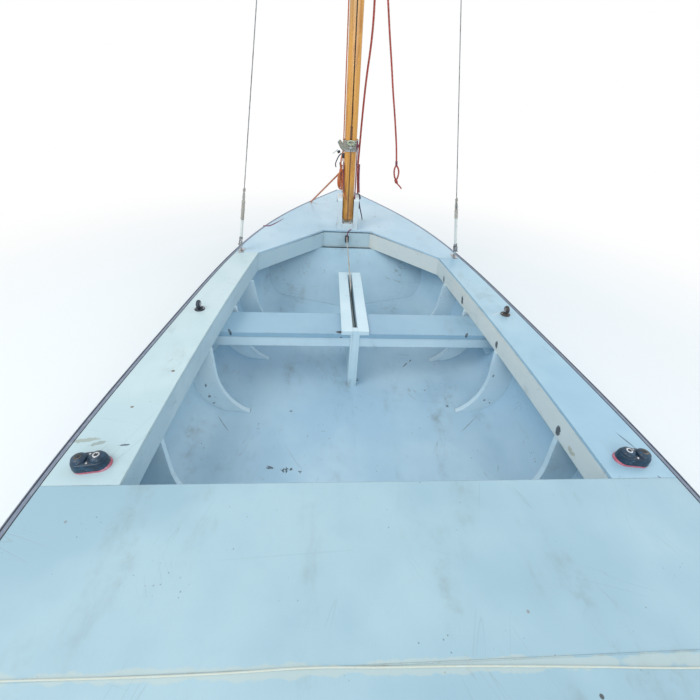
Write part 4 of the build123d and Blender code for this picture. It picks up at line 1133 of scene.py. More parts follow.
@dataclass
class CamCleat:
    """Plastic cam cleat with two toothed cams, on its red wedge."""

    palette: Palette
    side: Side
    centre_x: float = 0.660
    centre_y: float = -0.692
    turn: float = 8.0
    edge_shift: float = 0.0025
    wedge_levels: Levels = ((0.0, 0.0830, 0.0450), (0.0030, 0.0830, 0.0450), (0.0042, 0.0790, 0.0410),
                            (0.012, 0.0700, 0.0340))
    base_levels: Levels = ((0.0026, 0.0812, 0.0432), (0.0050, 0.0818, 0.0438), (0.0120, 0.0806, 0.0430),
                           (0.0200, 0.0784, 0.0416), (0.0238, 0.0756, 0.0392), (0.0252, 0.0690, 0.0330))
    base_screw: float = 0.0030
    base_screw_off: float = 0.0128
    spacing: float = 0.038
    cam_z: float = 0.0212
    cam_radius: float = 0.0150
    cam_height: float = 0.0088
    cam_top_scale: float = 0.96
    teeth: int = 11
    bite: float = 0.0011
    cap_profile: Profile = ((0.0176, 0.0010), (0.0172, 0.0056), (0.0158, 0.0096), (0.0130, 0.0122),
                            (0.0088, 0.0136), (0.0058, 0.0141), (0.0001, 0.0142))
    cap_screw: float = 0.0036
    washer_profile: Profile = ((0.0042, 0.0138), (0.0076, 0.0138), (0.0078, 0.0143), (0.0070, 0.0147),
                               (0.0046, 0.0147))

    @property
    def centre(self) -> Vector:
        """Middle of the cleat's foot on the deck."""
        return Vector((self.side.value * self.centre_x, self.centre_y, DECK_Z))

    @property
    def across(self) -> Vector:
        """Direction of the cleat's length."""
        angle = math.radians(-self.side.value * self.turn)
        return Vector((math.cos(angle), math.sin(angle), 0.0))

    def wedge(self) -> None:
        """Wedge of chalky red plastic that shows as a thin edge round the base."""
        form = Form(f"{self.side.word}_wedge_shape")
        inboard = Vector((-self.side.value * self.edge_shift, 0.0, 0.0))
        form.stack(self.wedge_levels, self.centre + inboard, self.across, UP)
        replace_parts(form.piece(Body.HULL, (self.palette.red,)), f"cleat_wedge_{self.side.word}")

    def cam_corner(self, angle: float, facing: float) -> Spot:
        """One corner of a cam, toothed on the side that faces the rope.

        Args:
            angle: Direction of the corner from the pivot.
            facing: Sign of the side that faces the rope.

        Returns:
            The corner, from the pivot.
        """
        open_side = max(0.0, math.cos(angle) * facing)
        bite = self.bite * math.sin(angle * self.teeth * 2.4) * (1.0 if open_side > 0.25 else 0.0)
        radius = self.cam_radius * (1.0 - 0.10 * (1.0 - open_side)) + bite
        return radius * math.cos(angle), radius * math.sin(angle)

    def body(self) -> None:
        """Flared base, cams with domed caps, pivot washers and screws."""
        form = Form(f"{self.side.word}_cam_cleat_shape")
        form.stack(self.base_levels, self.centre, self.across, UP)
        for way in (-1.0, 1.0):
            pivot = self.centre + self.across * (way * self.spacing / 2) + UP * self.cam_z
            outline = around(self.teeth * 8, lambda angle: self.cam_corner(angle, -way))
            form.prism(outline, pivot, self.across, UP, self.cam_height, 0, self.cam_top_scale)
            form.lathe(self.cap_profile, pivot, UP, 0, 36)
            form.collar(self.washer_profile, pivot, UP, 1 if way == -self.side.value else 2)
            form.screw(pivot + UP * self.cap_profile[-2][1], UP, self.cap_screw, 3)
        beside = UP.cross(self.across)
        for end in (-1.0, 1.0):
            place = self.centre + UP * self.base_levels[-1][0] + beside * (end * self.base_screw_off)
            form.screw(place, UP, self.base_screw, 1)
        look = self.palette
        piece = form.piece(Body.HULL, (look.cleat_black, look.bright, look.dull, look.black), angle=42.0)
        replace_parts(piece, f"cam_cleat_{self.side.word}")

    def build(self) -> None:
        """Make the cleat and its wedge."""
        self.wedge()
        self.body()


@dataclass
class SheetLead:
    """Ball-shaped lead ring with a steel liner, on a round base."""

    palette: Palette
    side: Side
    centre_x: float = 0.598
    centre_y: float = 0.008
    ring_rise: float = 0.0208
    base_profile: Profile = ((0.0188, -0.0004), (0.0190, 0.0008), (0.0188, 0.0024), (0.0176, 0.0038),
                             (0.0140, 0.0050), (0.0110, 0.0062))
    neck_levels: Levels = ((0.0050, 0.0210, 0.0130), (0.0085, 0.0170, 0.0110), (0.0130, 0.0180, 0.0115))
    liner_profile: Profile = (
        (0.0078, -0.0082), (0.0094, -0.0080), (0.0098, -0.0070), (0.0082, -0.0058), (0.0070, -0.0030),
        (0.0067, 0.0), (0.0070, 0.0030), (0.0082, 0.0058), (0.0098, 0.0070), (0.0094, 0.0080),
        (0.0078, 0.0082), (0.0066, 0.0058), (0.0062, 0.0), (0.0066, -0.0058))
    ball_inner: float = 0.0080
    ball_swell: float = 0.0090
    ball_half_width: float = 0.0074
    ball_reach: float = 74.0
    screw_off: float = 0.0142
    screw_rise: float = 0.0044
    screw_radius: float = 0.0028

    def build(self) -> None:
        """Make the base, neck, ring and liner as one piece."""
        form = Form(f"{self.side.word}_lead_shape")
        foot = Vector((self.side.value * self.centre_x, self.centre_y, DECK_Z))
        across = Vector((0.0, float(self.side.value), 0.0))
        through = UP.cross(across)
        form.lathe(self.base_profile, foot, UP, 0, 36)
        form.stack(self.neck_levels, foot, across, UP)
        middle = foot + UP * self.ring_rise
        arc = []
        for step in range(13):
            angle = math.radians(-self.ball_reach + 2 * self.ball_reach * step / 12)
            arc.append((self.ball_inner + self.ball_swell * math.cos(angle),
                        self.ball_half_width * math.sin(angle) / math.sin(math.radians(self.ball_reach))))
        form.collar(arc, middle, through, 0, 40)
        form.collar(self.liner_profile, middle, through, 1, 40)
        for way in (-1.0, 1.0):
            place = foot + through * (way * self.screw_off) + UP * self.screw_rise
            form.screw(place, UP, self.screw_radius, 1)
        look = self.palette
        shell = look.lead_brown if self.side is Side.STARBOARD else look.black
        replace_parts(form.piece(Body.HULL, (shell, look.bright)), f"sheet_lead_{self.side.word}")


@dataclass
class ClamCleat:
    """Grooved cleat aft of the mast with ribbed jaws."""

    palette: Palette
    groove: float = 0.006
    ribs: int = 6
    rib_radius: float = 0.0013
    screw_radius: float = 0.0024
    screw_inset: float = 0.007
    jaw_shares: Levels = ((0.3, 0.97, 0.98), (0.72, 0.95, 0.94), (0.92, 0.90, 0.78), (1.0, 0.80, 0.45))

    def build(self) -> None:
        """Make the two jaws on their back plate, with ribs and screws."""
        form = Form("clam_cleat_shape")
        (left, near, foot), (right, far, head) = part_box("clam_cleat")
        depth = far - near
        height = head - foot
        level = (foot + head) / 2
        middle = (left + right) / 2
        form.stack(((0.0, height, right - left), (depth * 0.36, height, right - left)),
                   Vector((middle, far, level)), UP, AFT)
        for start, end in ((left, middle - self.groove / 2), (middle + self.groove / 2, right)):
            jaw = [(depth * out, height * tall, (end - start) * wide) for out, tall, wide in self.jaw_shares]
            form.stack(jaw, Vector(((start + end) / 2, far, level)), UP, AFT)
        for index in range(self.ribs):
            z = foot + height * (index + 0.9) / (self.ribs + 0.8)
            for way in (-1.0, 1.0):
                x = middle + way * (self.groove / 2 + 0.0004)
                form.tube([Vector((x, far - depth * 0.4, z - 0.002)),
                           Vector((x, far - depth * 0.95, z + 0.002))], self.rib_radius, 0, 8)
        screw_x = (left + middle) / 2 - self.groove / 4
        for z in (foot + self.screw_inset, head - self.screw_inset):
            form.screw(Vector((screw_x, near + 0.0006, z)), AFT, self.screw_radius, 1)
        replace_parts(form.piece(Body.HULL, (self.palette.black, self.palette.dull), angle=45.0), "clam_cleat")


@dataclass
class ShroudFitting:
    """White sleeve, lanyard, thimble loop and shackle at a shroud's lower end."""

    palette: Palette
    side: Side
    pin: Place = (0.541, 0.572, 0.374)
    top: Place = (0.052, 0.945, 3.3579)
    sleeve_radius: float = 0.0068
    port_reaches: tuple[float, ...] = (0.037, 0.118, 0.121, 0.203, 0.252, 0.0095)
    starboard_reaches: tuple[float, ...] = (0.030, 0.160, 0.160, 0.198, 0.244, 0.0085)
    strands: int = 5
    strand_turns: float = 3.2
    strand_off: float = 0.0058
    strand_radius: float = 0.0024
    lanyard_knot: Wrap = Wrap(0.0062, 0.007, 2, 0.0026)
    loop_radius: float = 0.0026
    thimble_radius: float = 0.0018
    thimble_inset: float = 0.0034
    neck_whipping: Wrap = Wrap(0.0046, 0.014, 4, 0.0018)
    bow_radius: float = 0.0026
    bow_foot: Spot = (-0.006, 0.0095)
    bow_crown: Place = (0.016, 0.012, 0.0105)
    pin_reach: float = -0.005
    pin_radius: float = 0.0029
    pin_half: float = 0.0145
    pin_far: float = -0.0135
    pin_head: Profile = ((0.0046, -0.002), (0.0048, 0.0), (0.0046, 0.0024), (0.002, 0.0028))

    def at(self, reach: float, off: float = 0.0, turn: float = 0.0) -> Vector:
        """A point along the wire, moved off it to one side.

        Args:
            reach: Distance from the pin up the wire.
            off: Distance from the wire.
            turn: Direction of that distance, as an angle round the wire.

        Returns:
            The point.
        """
        start = Vector((self.side.value * self.pin[0], self.pin[1], self.pin[2]))
        end = Vector((self.side.value * self.top[0], self.top[1], self.top[2]))
        heading = (end - start).normalized()
        spoke = heading.orthogonal().normalized()
        beside = heading.cross(spoke)
        return start + heading * reach + (spoke * math.cos(turn) + beside * math.sin(turn)) * off

    def beside(self, reach: float, off: float) -> Vector:
        """A point along the wire, moved off it in the plane of its loop."""
        return self.at(reach, off, math.pi / 2)

    @property
    def heading(self) -> Vector:
        """Direction of the wire upward."""
        return (self.at(1.0) - self.at(0.0)).normalized()

    def sleeve(self, form: Form, low: float, high: float) -> None:
        """Split plastic sleeve with rolled ends.

        Args:
            form: Piece in the making.
            low: Distance of the lower end from the pin.
            high: Distance of the upper end.
        """
        size = self.sleeve_radius
        long = high - low
        form.lathe(((size * 0.80, 0.0), (size * 1.04, 0.001), (size * 1.04, 0.004), (size, 0.006),
                    (size, long - 0.006), (size * 1.04, long - 0.004), (size * 1.04, long - 0.001),
                    (size * 0.8, long)), self.at(low), self.heading, 0, 24)

    def lanyard(self, form: Form, low: float, high: float) -> None:
        """Thin strands twisted round the wire, with small knots.

        Args:
            form: Piece in the making.
            low: Distance of the lower end from the pin.
            high: Distance of the upper end.
        """
        for strand in range(self.strands):
            line = []
            for step in range(61):
                share = step / 60
                turn = math.tau * (share * self.strand_turns + strand / self.strands)
                line.append(self.at(low + (high - low) * share, self.strand_off, turn))
            form.tube(line, self.strand_radius, 1, 8)
        for reach in (low + 0.004, (low + high) / 2, high - 0.004):
            form.knot(self.at(reach), self.heading, self.lanyard_knot, 1, 8)

    def loop(self, form: Form, low: float, high: float, half_width: float) -> None:
        """Thimble with rope round it, that opens like a drop.

        Args:
            form: Piece in the making.
            low: Distance of the lower end from the pin.
            high: Distance of the upper end.
            half_width: Half the width of the rope's loop.
        """
        rings = ((half_width, 2, self.loop_radius), (half_width - self.thimble_inset, 3, self.thimble_radius))
        for half, slot, radius in rings:
            line = around(40, lambda angle: self.beside(
                (low + high) / 2 - math.cos(angle) * (high - low) / 2,
                half * math.sin(angle) * (0.62 + 0.38 * math.cos(angle))))
            form.tube(line, radius, slot, 8, closed=True)
        form.knot(self.at(high), self.heading, self.neck_whipping, 2, 8)

    def shackle(self, form: Form) -> None:
        """Bow shackle round the chainplate's pin.

        Args:
            form: Piece in the making.
        """
        foot, foot_half = self.bow_foot
        middle, rise, half = self.bow_crown
        line = [self.beside(foot, foot_half)]
        for step in range(25):
            angle = math.pi * step / 24
            line.append(self.beside(middle + rise * math.sin(angle), half * math.cos(angle)))
        line.append(self.beside(foot, -foot_half))
        form.tube(line, self.bow_radius, 3, 10)
        head = self.beside(self.pin_reach, self.pin_half)
        form.tube([head, self.beside(self.pin_reach, self.pin_far)], self.pin_radius, 3, 12)
        outward = self.beside(self.pin_reach, 0.02) - self.beside(self.pin_reach, 0.0)
        form.lathe(self.pin_head, head, outward, 3, 16)

    def build(self) -> None:
        """Make this side's fittings as one piece on its shroud."""
        form = Form(f"{self.side.word}_shroud_end")
        port = self.side is Side.PORT
        low, high, start, middle, end, half = self.port_reaches if port else self.starboard_reaches
        self.sleeve(form, low, high)
        self.lanyard(form, start, middle)
        self.loop(form, middle, end, half)
        self.shackle(form)
        look = self.palette
        form.piece(Body.SHROUD_PORT if port else Body.SHROUD_STARBOARD,
                   (look.white_plastic, look.white_rope, look.white_rope, look.bright))


@dataclass
class MastFoot:
    """Ropes, strap and cleat that are lashed to the lower mast."""

    palette: Palette
    middle: Place = (0.0, 0.945, 0.0)
    half_x: float = 0.0305
    half_y: float = 0.038
    lashing_radius: float = 0.0046
    lashing_z: Spot = (0.7535, 0.7985)
    ring_centre: Place = (0.0, 0.8985, 0.790)
    ring_half: Spot = (0.0165, 0.0095)
    straps: tuple[tuple[float, Route], ...] = (
        (0.0085, ((-0.0605, 0.930, 0.7930), (-0.050, 0.926, 0.784), (-0.043, 0.926, 0.770),
                  (-0.036, 0.928, 0.758), (-0.030, 0.930, 0.750))),
        (0.0065, ((-0.0620, 0.936, 0.7880), (-0.054, 0.938, 0.774), (-0.046, 0.940, 0.760),
                  (-0.036, 0.940, 0.751))),
    )
    cleat_y: float = 0.930
    cleat_levels: Levels = ((-0.0008, 0.046, 0.0150), (0.0045, 0.040, 0.0130), (0.0125, 0.030, 0.0110))
    horn: Profile = ((0.0205, 0.588), (0.0160, 0.612), (0.0140, 0.640), (0.0160, 0.668), (0.0205, 0.692))
    block_levels: Levels = ((0.0, 0.026, 0.014), (0.010, 0.024, 0.012), (0.014, 0.018, 0.008))
    strands: tuple[Route, ...] = (
        ((-0.0433, 0.915, 0.606), (-0.048, 0.914, 0.600), (-0.0550, 0.918, 0.592), (-0.0560, 0.922, 0.584)),
        ((-0.040, 0.914, 0.600), (-0.034, 0.906, 0.570), (-0.024, 0.902, 0.540), (-0.012, 0.902, 0.512)),
        ((-0.046, 0.918, 0.660), (-0.049, 0.922, 0.700), (-0.041, 0.930, 0.735), (-0.035, 0.938, 0.752)),
    )
    orange_fall: Route = ((-0.037, 0.928, 0.700), (-0.036, 0.932, 1.20), (-0.0355, 0.938, 2.2),
                          (-0.0355, 0.944, 3.4), (-0.0355, 0.946, 4.6), (-0.030, 0.946, 4.99))
    purple_strand: Route = ((-0.034, 0.918, 0.700), (-0.032, 0.906, 0.640), (-0.028, 0.902, 0.590),
                            (-0.026, 0.903, 0.545))
    batten: Route = ((-0.066, 0.930, 0.752), (-0.078, 0.930, 0.742), (-0.092, 0.930, 0.733))
    hitch: Route = ((-0.046, 0.930, 0.735), (-0.056, 0.930, 0.728), (-0.068, 0.930, 0.706),
                    (-0.078, 0.930, 0.680), (-0.072, 0.930, 0.668))
    red_fall: Route = (
        (0.012, 0.946, 4.99), (0.0375, 0.946, 4.90), (0.0375, 0.946, 3.9), (0.0375, 0.948, 2.9),
        (0.038, 0.948, 2.10), (0.046, 0.950, 1.80), (0.066, 0.955, 1.56), (0.0785, 0.960, 1.334),
        (0.0769, 0.960, 1.200), (0.0609, 0.960, 1.0505), (0.051, 0.960, 0.8415), (0.046, 0.960, 0.677))
    bunch_offsets: Profile = ((0.0, 0.0), (0.0075, 0.004), (0.0035, 0.0085))
    tails: tuple[Route, ...] = (
        ((0.060, 0.972, 0.505), (0.068, 0.988, 0.468), (0.079, 1.010, 0.425), (0.0915, 1.036, 0.382),
         (0.0975, 1.054, 0.3570)),
        ((0.059, 0.972, 0.505), (0.064, 0.982, 0.470), (0.068, 0.990, 0.440)),
    )
    dark_line: Route = ((0.033, 0.903, 0.800), (0.0335, 0.902, 0.700), (0.034, 0.902, 0.600),
                        (0.034, 0.903, 0.500), (0.0345, 0.908, 0.440))
    ring_radius: float = 0.0034
    horn_radius: float = 0.0050
    crossing_count: int = 5
    crossing_pitch: float = 0.0042
    crossing_z: float = 0.6405
    crossing_out: float = 0.0145
    crossing_stagger: float = 0.0018
    crossing_half: Place = (0.0062, 0.0105, 0.030)
    crossing_radius: float = 0.0030
    coil_count: int = 4
    coil_drop: float = 0.010
    coil_radius: float = 0.0040
    strand_radius: float = 0.0038
    orange_radius: float = 0.0028
    purple_radius: float = 0.0026
    batten_radius: float = 0.0026
    hitch_radius: float = 0.0028
    red_radius: float = 0.0050
    bunch_radius: float = 0.0046
    tail_radius: float = 0.0036
    dark_radius: float = 0.0030
    strap_knot: Wrap = Wrap(0.0070, 0.010, 2, 0.0032)
    strap_knot_at: Place = (-0.047, 0.930, 0.772)
    strap_knot_along: Place = (0.5, 0.1, -0.8)
    batten_knot: Wrap = Wrap(0.0048, 0.012, 3, 0.0024)
    batten_knot_at: Place = (-0.060, 0.930, 0.742)
    batten_knot_along: Place = (1.0, 0.0, 0.6)
    bunch_knot: Wrap = Wrap(0.0072, 0.026, 3, 0.0046)
    bunch_knot_at: Place = (0.060, 0.972, 0.512)
    bunch_knot_along: Place = (0.35, 0.1, -1.0)
    dark_knot: Wrap = Wrap(0.0050, 0.016, 3, 0.0026)
    dark_knot_at: Place = (0.033, 0.9035, 0.775)

    def lashing(self) -> None:
        """Turns of grey-green rope round the mast, with a pale ring aft of it."""
        form = Form("mast_lashing")
        radius = self.lashing_radius
        half = (self.half_x + radius, self.half_y + radius)
        form.tube(wound(Vector(self.middle), half, *self.lashing_z, 5), radius)
        x, y, z = self.ring_centre
        ring = around(32, lambda angle: Vector((x + self.ring_half[0] * math.cos(angle), y,
                                                z + self.ring_half[1] * math.sin(angle))))
        form.tube(ring, self.ring_radius, 1, closed=True)
        for thick, strap in self.straps:
            form.rope(strap, thick, 0, 12)
        form.knot(Vector(self.strap_knot_at), Vector(self.strap_knot_along), self.strap_knot, 0, 8)
        form.piece(Body.MAST, (self.palette.webbing, self.palette.ring_green))

    def crossings(self, form: Form, side: float) -> None:
        """Figures of eight that the orange halyard makes on the cleat.

        Args:
            form: Piece in the making.
            side: Where the mast's face is, on X.
        """
        deep, wide, tall = self.crossing_half
        for index in range(self.crossing_count):
            lift = self.crossing_pitch * (index - 2)
            out = side - self.crossing_out - self.crossing_stagger * (index % 2)
            line = around(36, lambda angle: Vector((
                out + deep * math.cos(2 * angle) * (0.6 + 0.08 * index),
                self.cleat_y + wide * math.sin(2 * angle),
                self.crossing_z + lift + tall * math.cos(angle))))
            form.tube(line, self.crossing_radius, 1, 8, closed=True)

    def coils(self, form: Form) -> None:
        """Coils of spare halyard that hang behind the cleat.

        Args:
            form: Piece in the making.
        """
        for index in range(self.coil_count):
            drop = self.coil_drop * index
            coil = ((-0.047 + 0.003 * index, 0.916, 0.662), (-0.056 - 0.002 * index, 0.912, 0.630),
                    (-0.050 - 0.003 * index, 0.912, 0.598 - drop),
                    (-0.040 + 0.002 * index, 0.914, 0.590 - drop),
                    (-0.036 + 0.001 * index, 0.918, 0.622), (-0.040, 0.920, 0.656))
            form.rope(coil, self.coil_radius, 1, closed=True)

    def cleat(self) -> None:
        """Horn cleat on the port side, with the orange halyard's turns and coil on it."""
        form = Form("mast_cleat")
        side = -self.half_x
        outboard = -TO_STARBOARD
        form.stack(self.cleat_levels, Vector((side, self.cleat_y, 0.640)), UP, outboard)
        form.rope([(side - out, self.cleat_y, z) for out, z in self.horn], self.horn_radius, 0, 12)
        self.crossings(form, side)
        self.coils(form)
        for strand in self.strands:
            form.rope(strand, self.strand_radius, 1)
        form.rope(self.orange_fall, self.orange_radius, 1, 8)
        form.rope(self.purple_strand, self.purple_radius, 3, 8)
        form.stack(self.block_levels, Vector((side, self.cleat_y, 0.7249)), UP, outboard)
        form.rope(self.batten, self.batten_radius, 2, 8)
        form.knot(Vector(self.batten_knot_at), Vector(self.batten_knot_along), self.batten_knot, 0, 8)
        form.rope(self.hitch, self.hitch_radius, 0, 8)
        look = self.palette
        form.piece(Body.MAST, (look.black, look.orange_rope, look.white_plastic, look.purple_rope))

    def halyards(self) -> None:
        """Red halyard down the starboard side, with its doubled bunch, knot and tails."""
        form = Form("red_halyard")
        form.rope(self.red_fall, self.red_radius)
        for index, (out, fore) in enumerate(self.bunch_offsets):
            bunch = ((0.046 + out, 0.960 + fore, 0.690 - 0.01 * index), (0.0462 + out, 0.962 + fore, 0.640),
                     (0.049 + out, 0.964 + fore, 0.585), (0.054 + out, 0.968 + fore, 0.530 + 0.004 * index))
            form.rope(bunch, self.bunch_radius, index % 2)
        form.knot(Vector(self.bunch_knot_at), Vector(self.bunch_knot_along), self.bunch_knot, 2)
        for tail in self.tails:
            form.rope(tail, self.tail_radius, 2, taper=0.15)
        look = self.palette
        form.piece(Body.MAST, (look.red_rope, look.purple_rope, look.navy_rope))

    def control_line(self) -> None:
        """Dark red line down the mast's after starboard corner."""
        form = Form("dark_red_line")
        form.rope(self.dark_line, self.dark_radius, 0, 8)
        form.knot(Vector(self.dark_knot_at), UP, self.dark_knot, 0, 8)
        form.piece(Body.MAST, (self.palette.purple_rope,))

    def build(self) -> None:
        """Make everything on the lower mast."""
        self.lashing()
        self.cleat()
        self.halyards()
        self.control_line()


@dataclass
class DeckLines:
    """Taut lines between mast, deck and centreboard trunk."""

    palette: Palette
    mast_end: Place = (-0.0480, 0.940, 0.6420)
    edge: Place = (-0.2330, 1.3560, 0.3520)
    along_edge: Route = ((-0.2520, 1.3050, 0.3465), (-0.320, 1.145, 0.3480), (-0.392, 1.000, 0.3475),
                         (-0.436, 0.922, 0.3465), (-0.452, 0.912, 0.3460), (-0.478, 0.915, 0.3455))
    slot_y: float = 0.380
    lead: Route = ((0.0340, 0.9080, 0.4300), (0.0375, 0.9150, 0.3950), (0.0370, 0.9180, 0.3700),
                   (0.0300, 0.9030, 0.3540), (0.0250, 0.8970, 0.3520))
    orange_radius: float = 0.0046
    edge_radius: float = 0.0042
    board_radius: float = 0.0032
    upper_radius: float = 0.0028
    lead_radius: float = 0.0026

    def orange_line(self) -> None:
        """Taut orange line from the mast's cleat to the port deck edge."""
        form = Form("orange_line")
        start = Vector(self.mast_end)
        end = Vector(self.edge)
        form.tube([start.lerp(end, step / 24) for step in range(25)], self.orange_radius, 0, 12)
        line = form.piece(None, (self.palette.orange_rope,))
        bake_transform(line)

    def edge_line(self) -> None:
        """Dark red line that lies just inside the port deck edge."""
        form = Form("deck_edge_line")
        form.rope((self.edge, *self.along_edge), self.edge_radius, 0, 12)
        form.piece(Body.HULL, (self.palette.purple_rope,))

    def board_line(self) -> None:
        """White line from the clam cleat down into the trunk's slot."""
        form = Form("board_line")
        (left, near, foot), (right, _, head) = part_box("clam_cleat")
        middle = (left + right) / 2
        slot = Vector((0.0, self.slot_y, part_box("trunk_cap_port")[1][2]))
        jaws = Vector((middle, near + 0.002, (foot + head) / 2))
        above = jaws + Vector((0, 0.004, 0.016))
        taut = (above, jaws, jaws.lerp(slot, 0.10), jaws.lerp(slot, 0.5), jaws.lerp(slot, 0.92), slot,
                slot + Vector((0, -0.006, -0.030)))
        form.rope(taut, self.board_radius)
        upper = (self.lead[-1], (0.0180, 0.8880, 0.3480), (middle + 0.003, 0.8760, 0.3420), above)
        form.rope(upper, self.upper_radius, 1, 8)
        form.rope(self.lead, self.lead_radius, 1, 8)
        form.piece(Body.HULL, (self.palette.white_rope, self.palette.purple_rope))

    def build(self) -> None:
        """Make all the lines."""
        self.orange_line()
        self.edge_line()
        self.board_line()


@dataclass
class Trim:
    """Small bolts, beads, seams and fittings over the whole boat."""

    palette: Palette
    strip_width: float = 0.013
    bead_inset: float = 0.0012
    outer_bead: float = 0.0020
    inner_bead: float = 0.0016
    stations: int = 70
    seam_radius: float = 0.0016
    filler_radius: float = 0.0013
    base_bolt: float = 0.0045
    side_bolt: float = 0.0028
    side_bolt_at: Spot = (0.0330, 0.9050)
    hounds_pin: float = 0.0048
    thwart_screw: float = 0.0034
    thwart_screw_inset: float = 0.030
    thwart_screw_shares: Spot = (0.035, 0.965)
    seam: Route = (
        (-0.700, -1.0800, 0.3403), (-0.605, -1.0802, 0.3404), (-0.460, -1.0830, 0.3405),
        (-0.2788, -1.0841, 0.3406), (-0.1398, -1.0806, 0.3406), (-0.020, -1.0860, 0.3406),
        (0.0777, -1.0873, 0.3406), (0.300, -1.0960, 0.3405), (0.504, -1.1068, 0.3404),
        (0.690, -1.1090, 0.3403))
    base_bolts: Profile = ((-0.0233, 0.9000), (0.0181, 0.9020))
    fairlead_foot: Spot = (-0.062, 1.490)
    fairlead_levels: Levels = ((-0.002, 0.046, 0.016), (0.003, 0.046, 0.016), (0.005, 0.040, 0.012))
    fairlead_ring: Profile = ((0.0090, -0.0045), (0.0125, -0.0040), (0.0150, -0.0020), (0.0155, 0.0),
                              (0.0150, 0.0020), (0.0125, 0.0040), (0.0090, 0.0045), (0.0080, 0.0))
    sheave: Profile = ((0.014, -0.0050), (0.015, -0.0045), (0.0118, 0.0), (0.015, 0.0045), (0.014, 0.0050))

    def edge_bead(self, side: Side) -> None:
        """Dark beads along both edges of a rub strip.

        Args:
            side: Side of the boat.
        """
        name = f"rub_strip_{side.word}"
        low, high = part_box(name)
        tree = BVHTree.FromObject(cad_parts[name], bpy.context.evaluated_depsgraph_get())
        outer = []
        inner = []
        for step in range(self.stations + 1):
            y = low[1] + 0.008 + (high[1] - low[1] - 0.050) * step / self.stations
            hit = tree.ray_cast(Vector((side.value * 2.0, y, DECK_Z - 0.012)), Vector((-side.value, 0, 0)))
            if hit[0] is None:
                continue
            slope = Vector((hit[1].x, hit[1].y, 0.0)).normalized()
            edge = Vector((hit[0].x, y, DECK_Z - 0.0006)) - slope * self.bead_inset
            outer.append(edge)
            inner.append(edge - slope * (self.strip_width - self.bead_inset))
        form = Form(f"{side.word}_strip_beads")
        form.tube(outer, self.outer_bead, 0, 8)
        form.tube(inner, self.inner_bead, 0, 8)
        form.piece(Body.HULL, (self.palette.strip_dark,))

    def stern_seam(self) -> None:
        """Cream sealant on the stern deck, and filler in the seam between its panels."""
        form = Form("stern_seam")
        form.rope(self.seam, self.seam_radius, 0, 8)
        joint_y = (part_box("aft_deck")[0][1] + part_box("stern_deck")[1][1]) / 2
        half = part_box("aft_deck")[1][0] - 0.060
        filler = [Vector((-half + half * step / 20, joint_y, DECK_Z - 0.0002)) for step in range(41)]
        form.tube(filler, self.filler_radius, 1, 8)
        form.piece(Body.HULL, (self.palette.sealant, self.palette.deck))

    def tabernacle(self) -> None:
        """Bolts in the tabernacle's base."""
        form = Form("tabernacle_bolts")
        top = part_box("tabernacle_base")[1][2]
        for x, y in self.base_bolts:
            form.screw(Vector((x, y, top)), UP, self.base_bolt)
        for side in Side:
            x, y = self.side_bolt_at
            form.screw(Vector((side.value * x, y, top)), UP, self.side_bolt)
        form.piece(Body.HULL, (self.palette.dull,))

    def bow_fitting(self) -> None:
        """Small fairlead by the port edge of the bow."""
        form = Form("bow_fairlead")
        foot = Vector((*self.fairlead_foot, DECK_Z + 0.002))
        form.stack(self.fairlead_levels, foot, Vector((0.25, 1.0, 0.0)), UP)
        form.collar(self.fairlead_ring, foot + UP * 0.020, Vector((1.0, -0.25, 0.0)))
        form.piece(Body.HULL, (self.palette.dull,))

    def masthead(self) -> None:
        """Sheave in the masthead and pins of the hounds."""
        form = Form("masthead_sheave")
        cap_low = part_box("masthead_cap")[0]
        middle = Vector((0.0, cap_low[1] + 0.004, cap_low[2] - 0.030))
        form.lathe(self.sheave, middle, TO_STARBOARD)
        low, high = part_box("hounds_band")
        for side in Side:
            place = Vector((side.value * (high[0] - 0.0008), (low[1] + high[1]) / 2, (low[2] + high[2]) / 2))
            form.screw(place, TO_STARBOARD * side.value, self.hounds_pin, 1)
        form.piece(Body.MAST, (self.palette.black, self.palette.bright))

    def thwart_screws(self) -> None:
        """Screws at the ends of the thwart's top."""
        form = Form("thwart_screws")
        low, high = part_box("thwart")
        for share in self.thwart_screw_shares:
            for y in (low[1] + self.thwart_screw_inset, high[1] - self.thwart_screw_inset):
                x = low[0] + (high[0] - low[0]) * share
                form.screw(Vector((x, y, high[2])), UP, self.thwart_screw)
        form.piece(Body.HULL, (self.palette.dull,))

    def build(self) -> None:
        """Make all the trim."""
        for side in Side:
            self.edge_bead(side)
        self.stern_seam()
        self.tabernacle()
        self.bow_fitting()
        self.masthead()
        self.thwart_screws()


@dataclass(frozen=True)
class Lamp:
    """A large soft lamp that points at a place."""

    name: str
    place: Place
    aim: Place
    size: float
    power: float
    tint: Place

    def build(self) -> None:
        """Add the lamp to the scene."""
        data = bpy.data.lights.new(self.name, "AREA")
        data.shape = "DISK"
        data.size = self.size
        data.energy = self.power
        data.color = self.tint
        lamp = bpy.data.objects.new(self.name, data)
        lamp.location = self.place
        heading = Vector(self.aim) - Vector(self.place)
        lamp.rotation_euler = heading.to_track_quat("-Z", "Y").to_euler()
        bpy.context.scene.collection.objects.link(lamp)


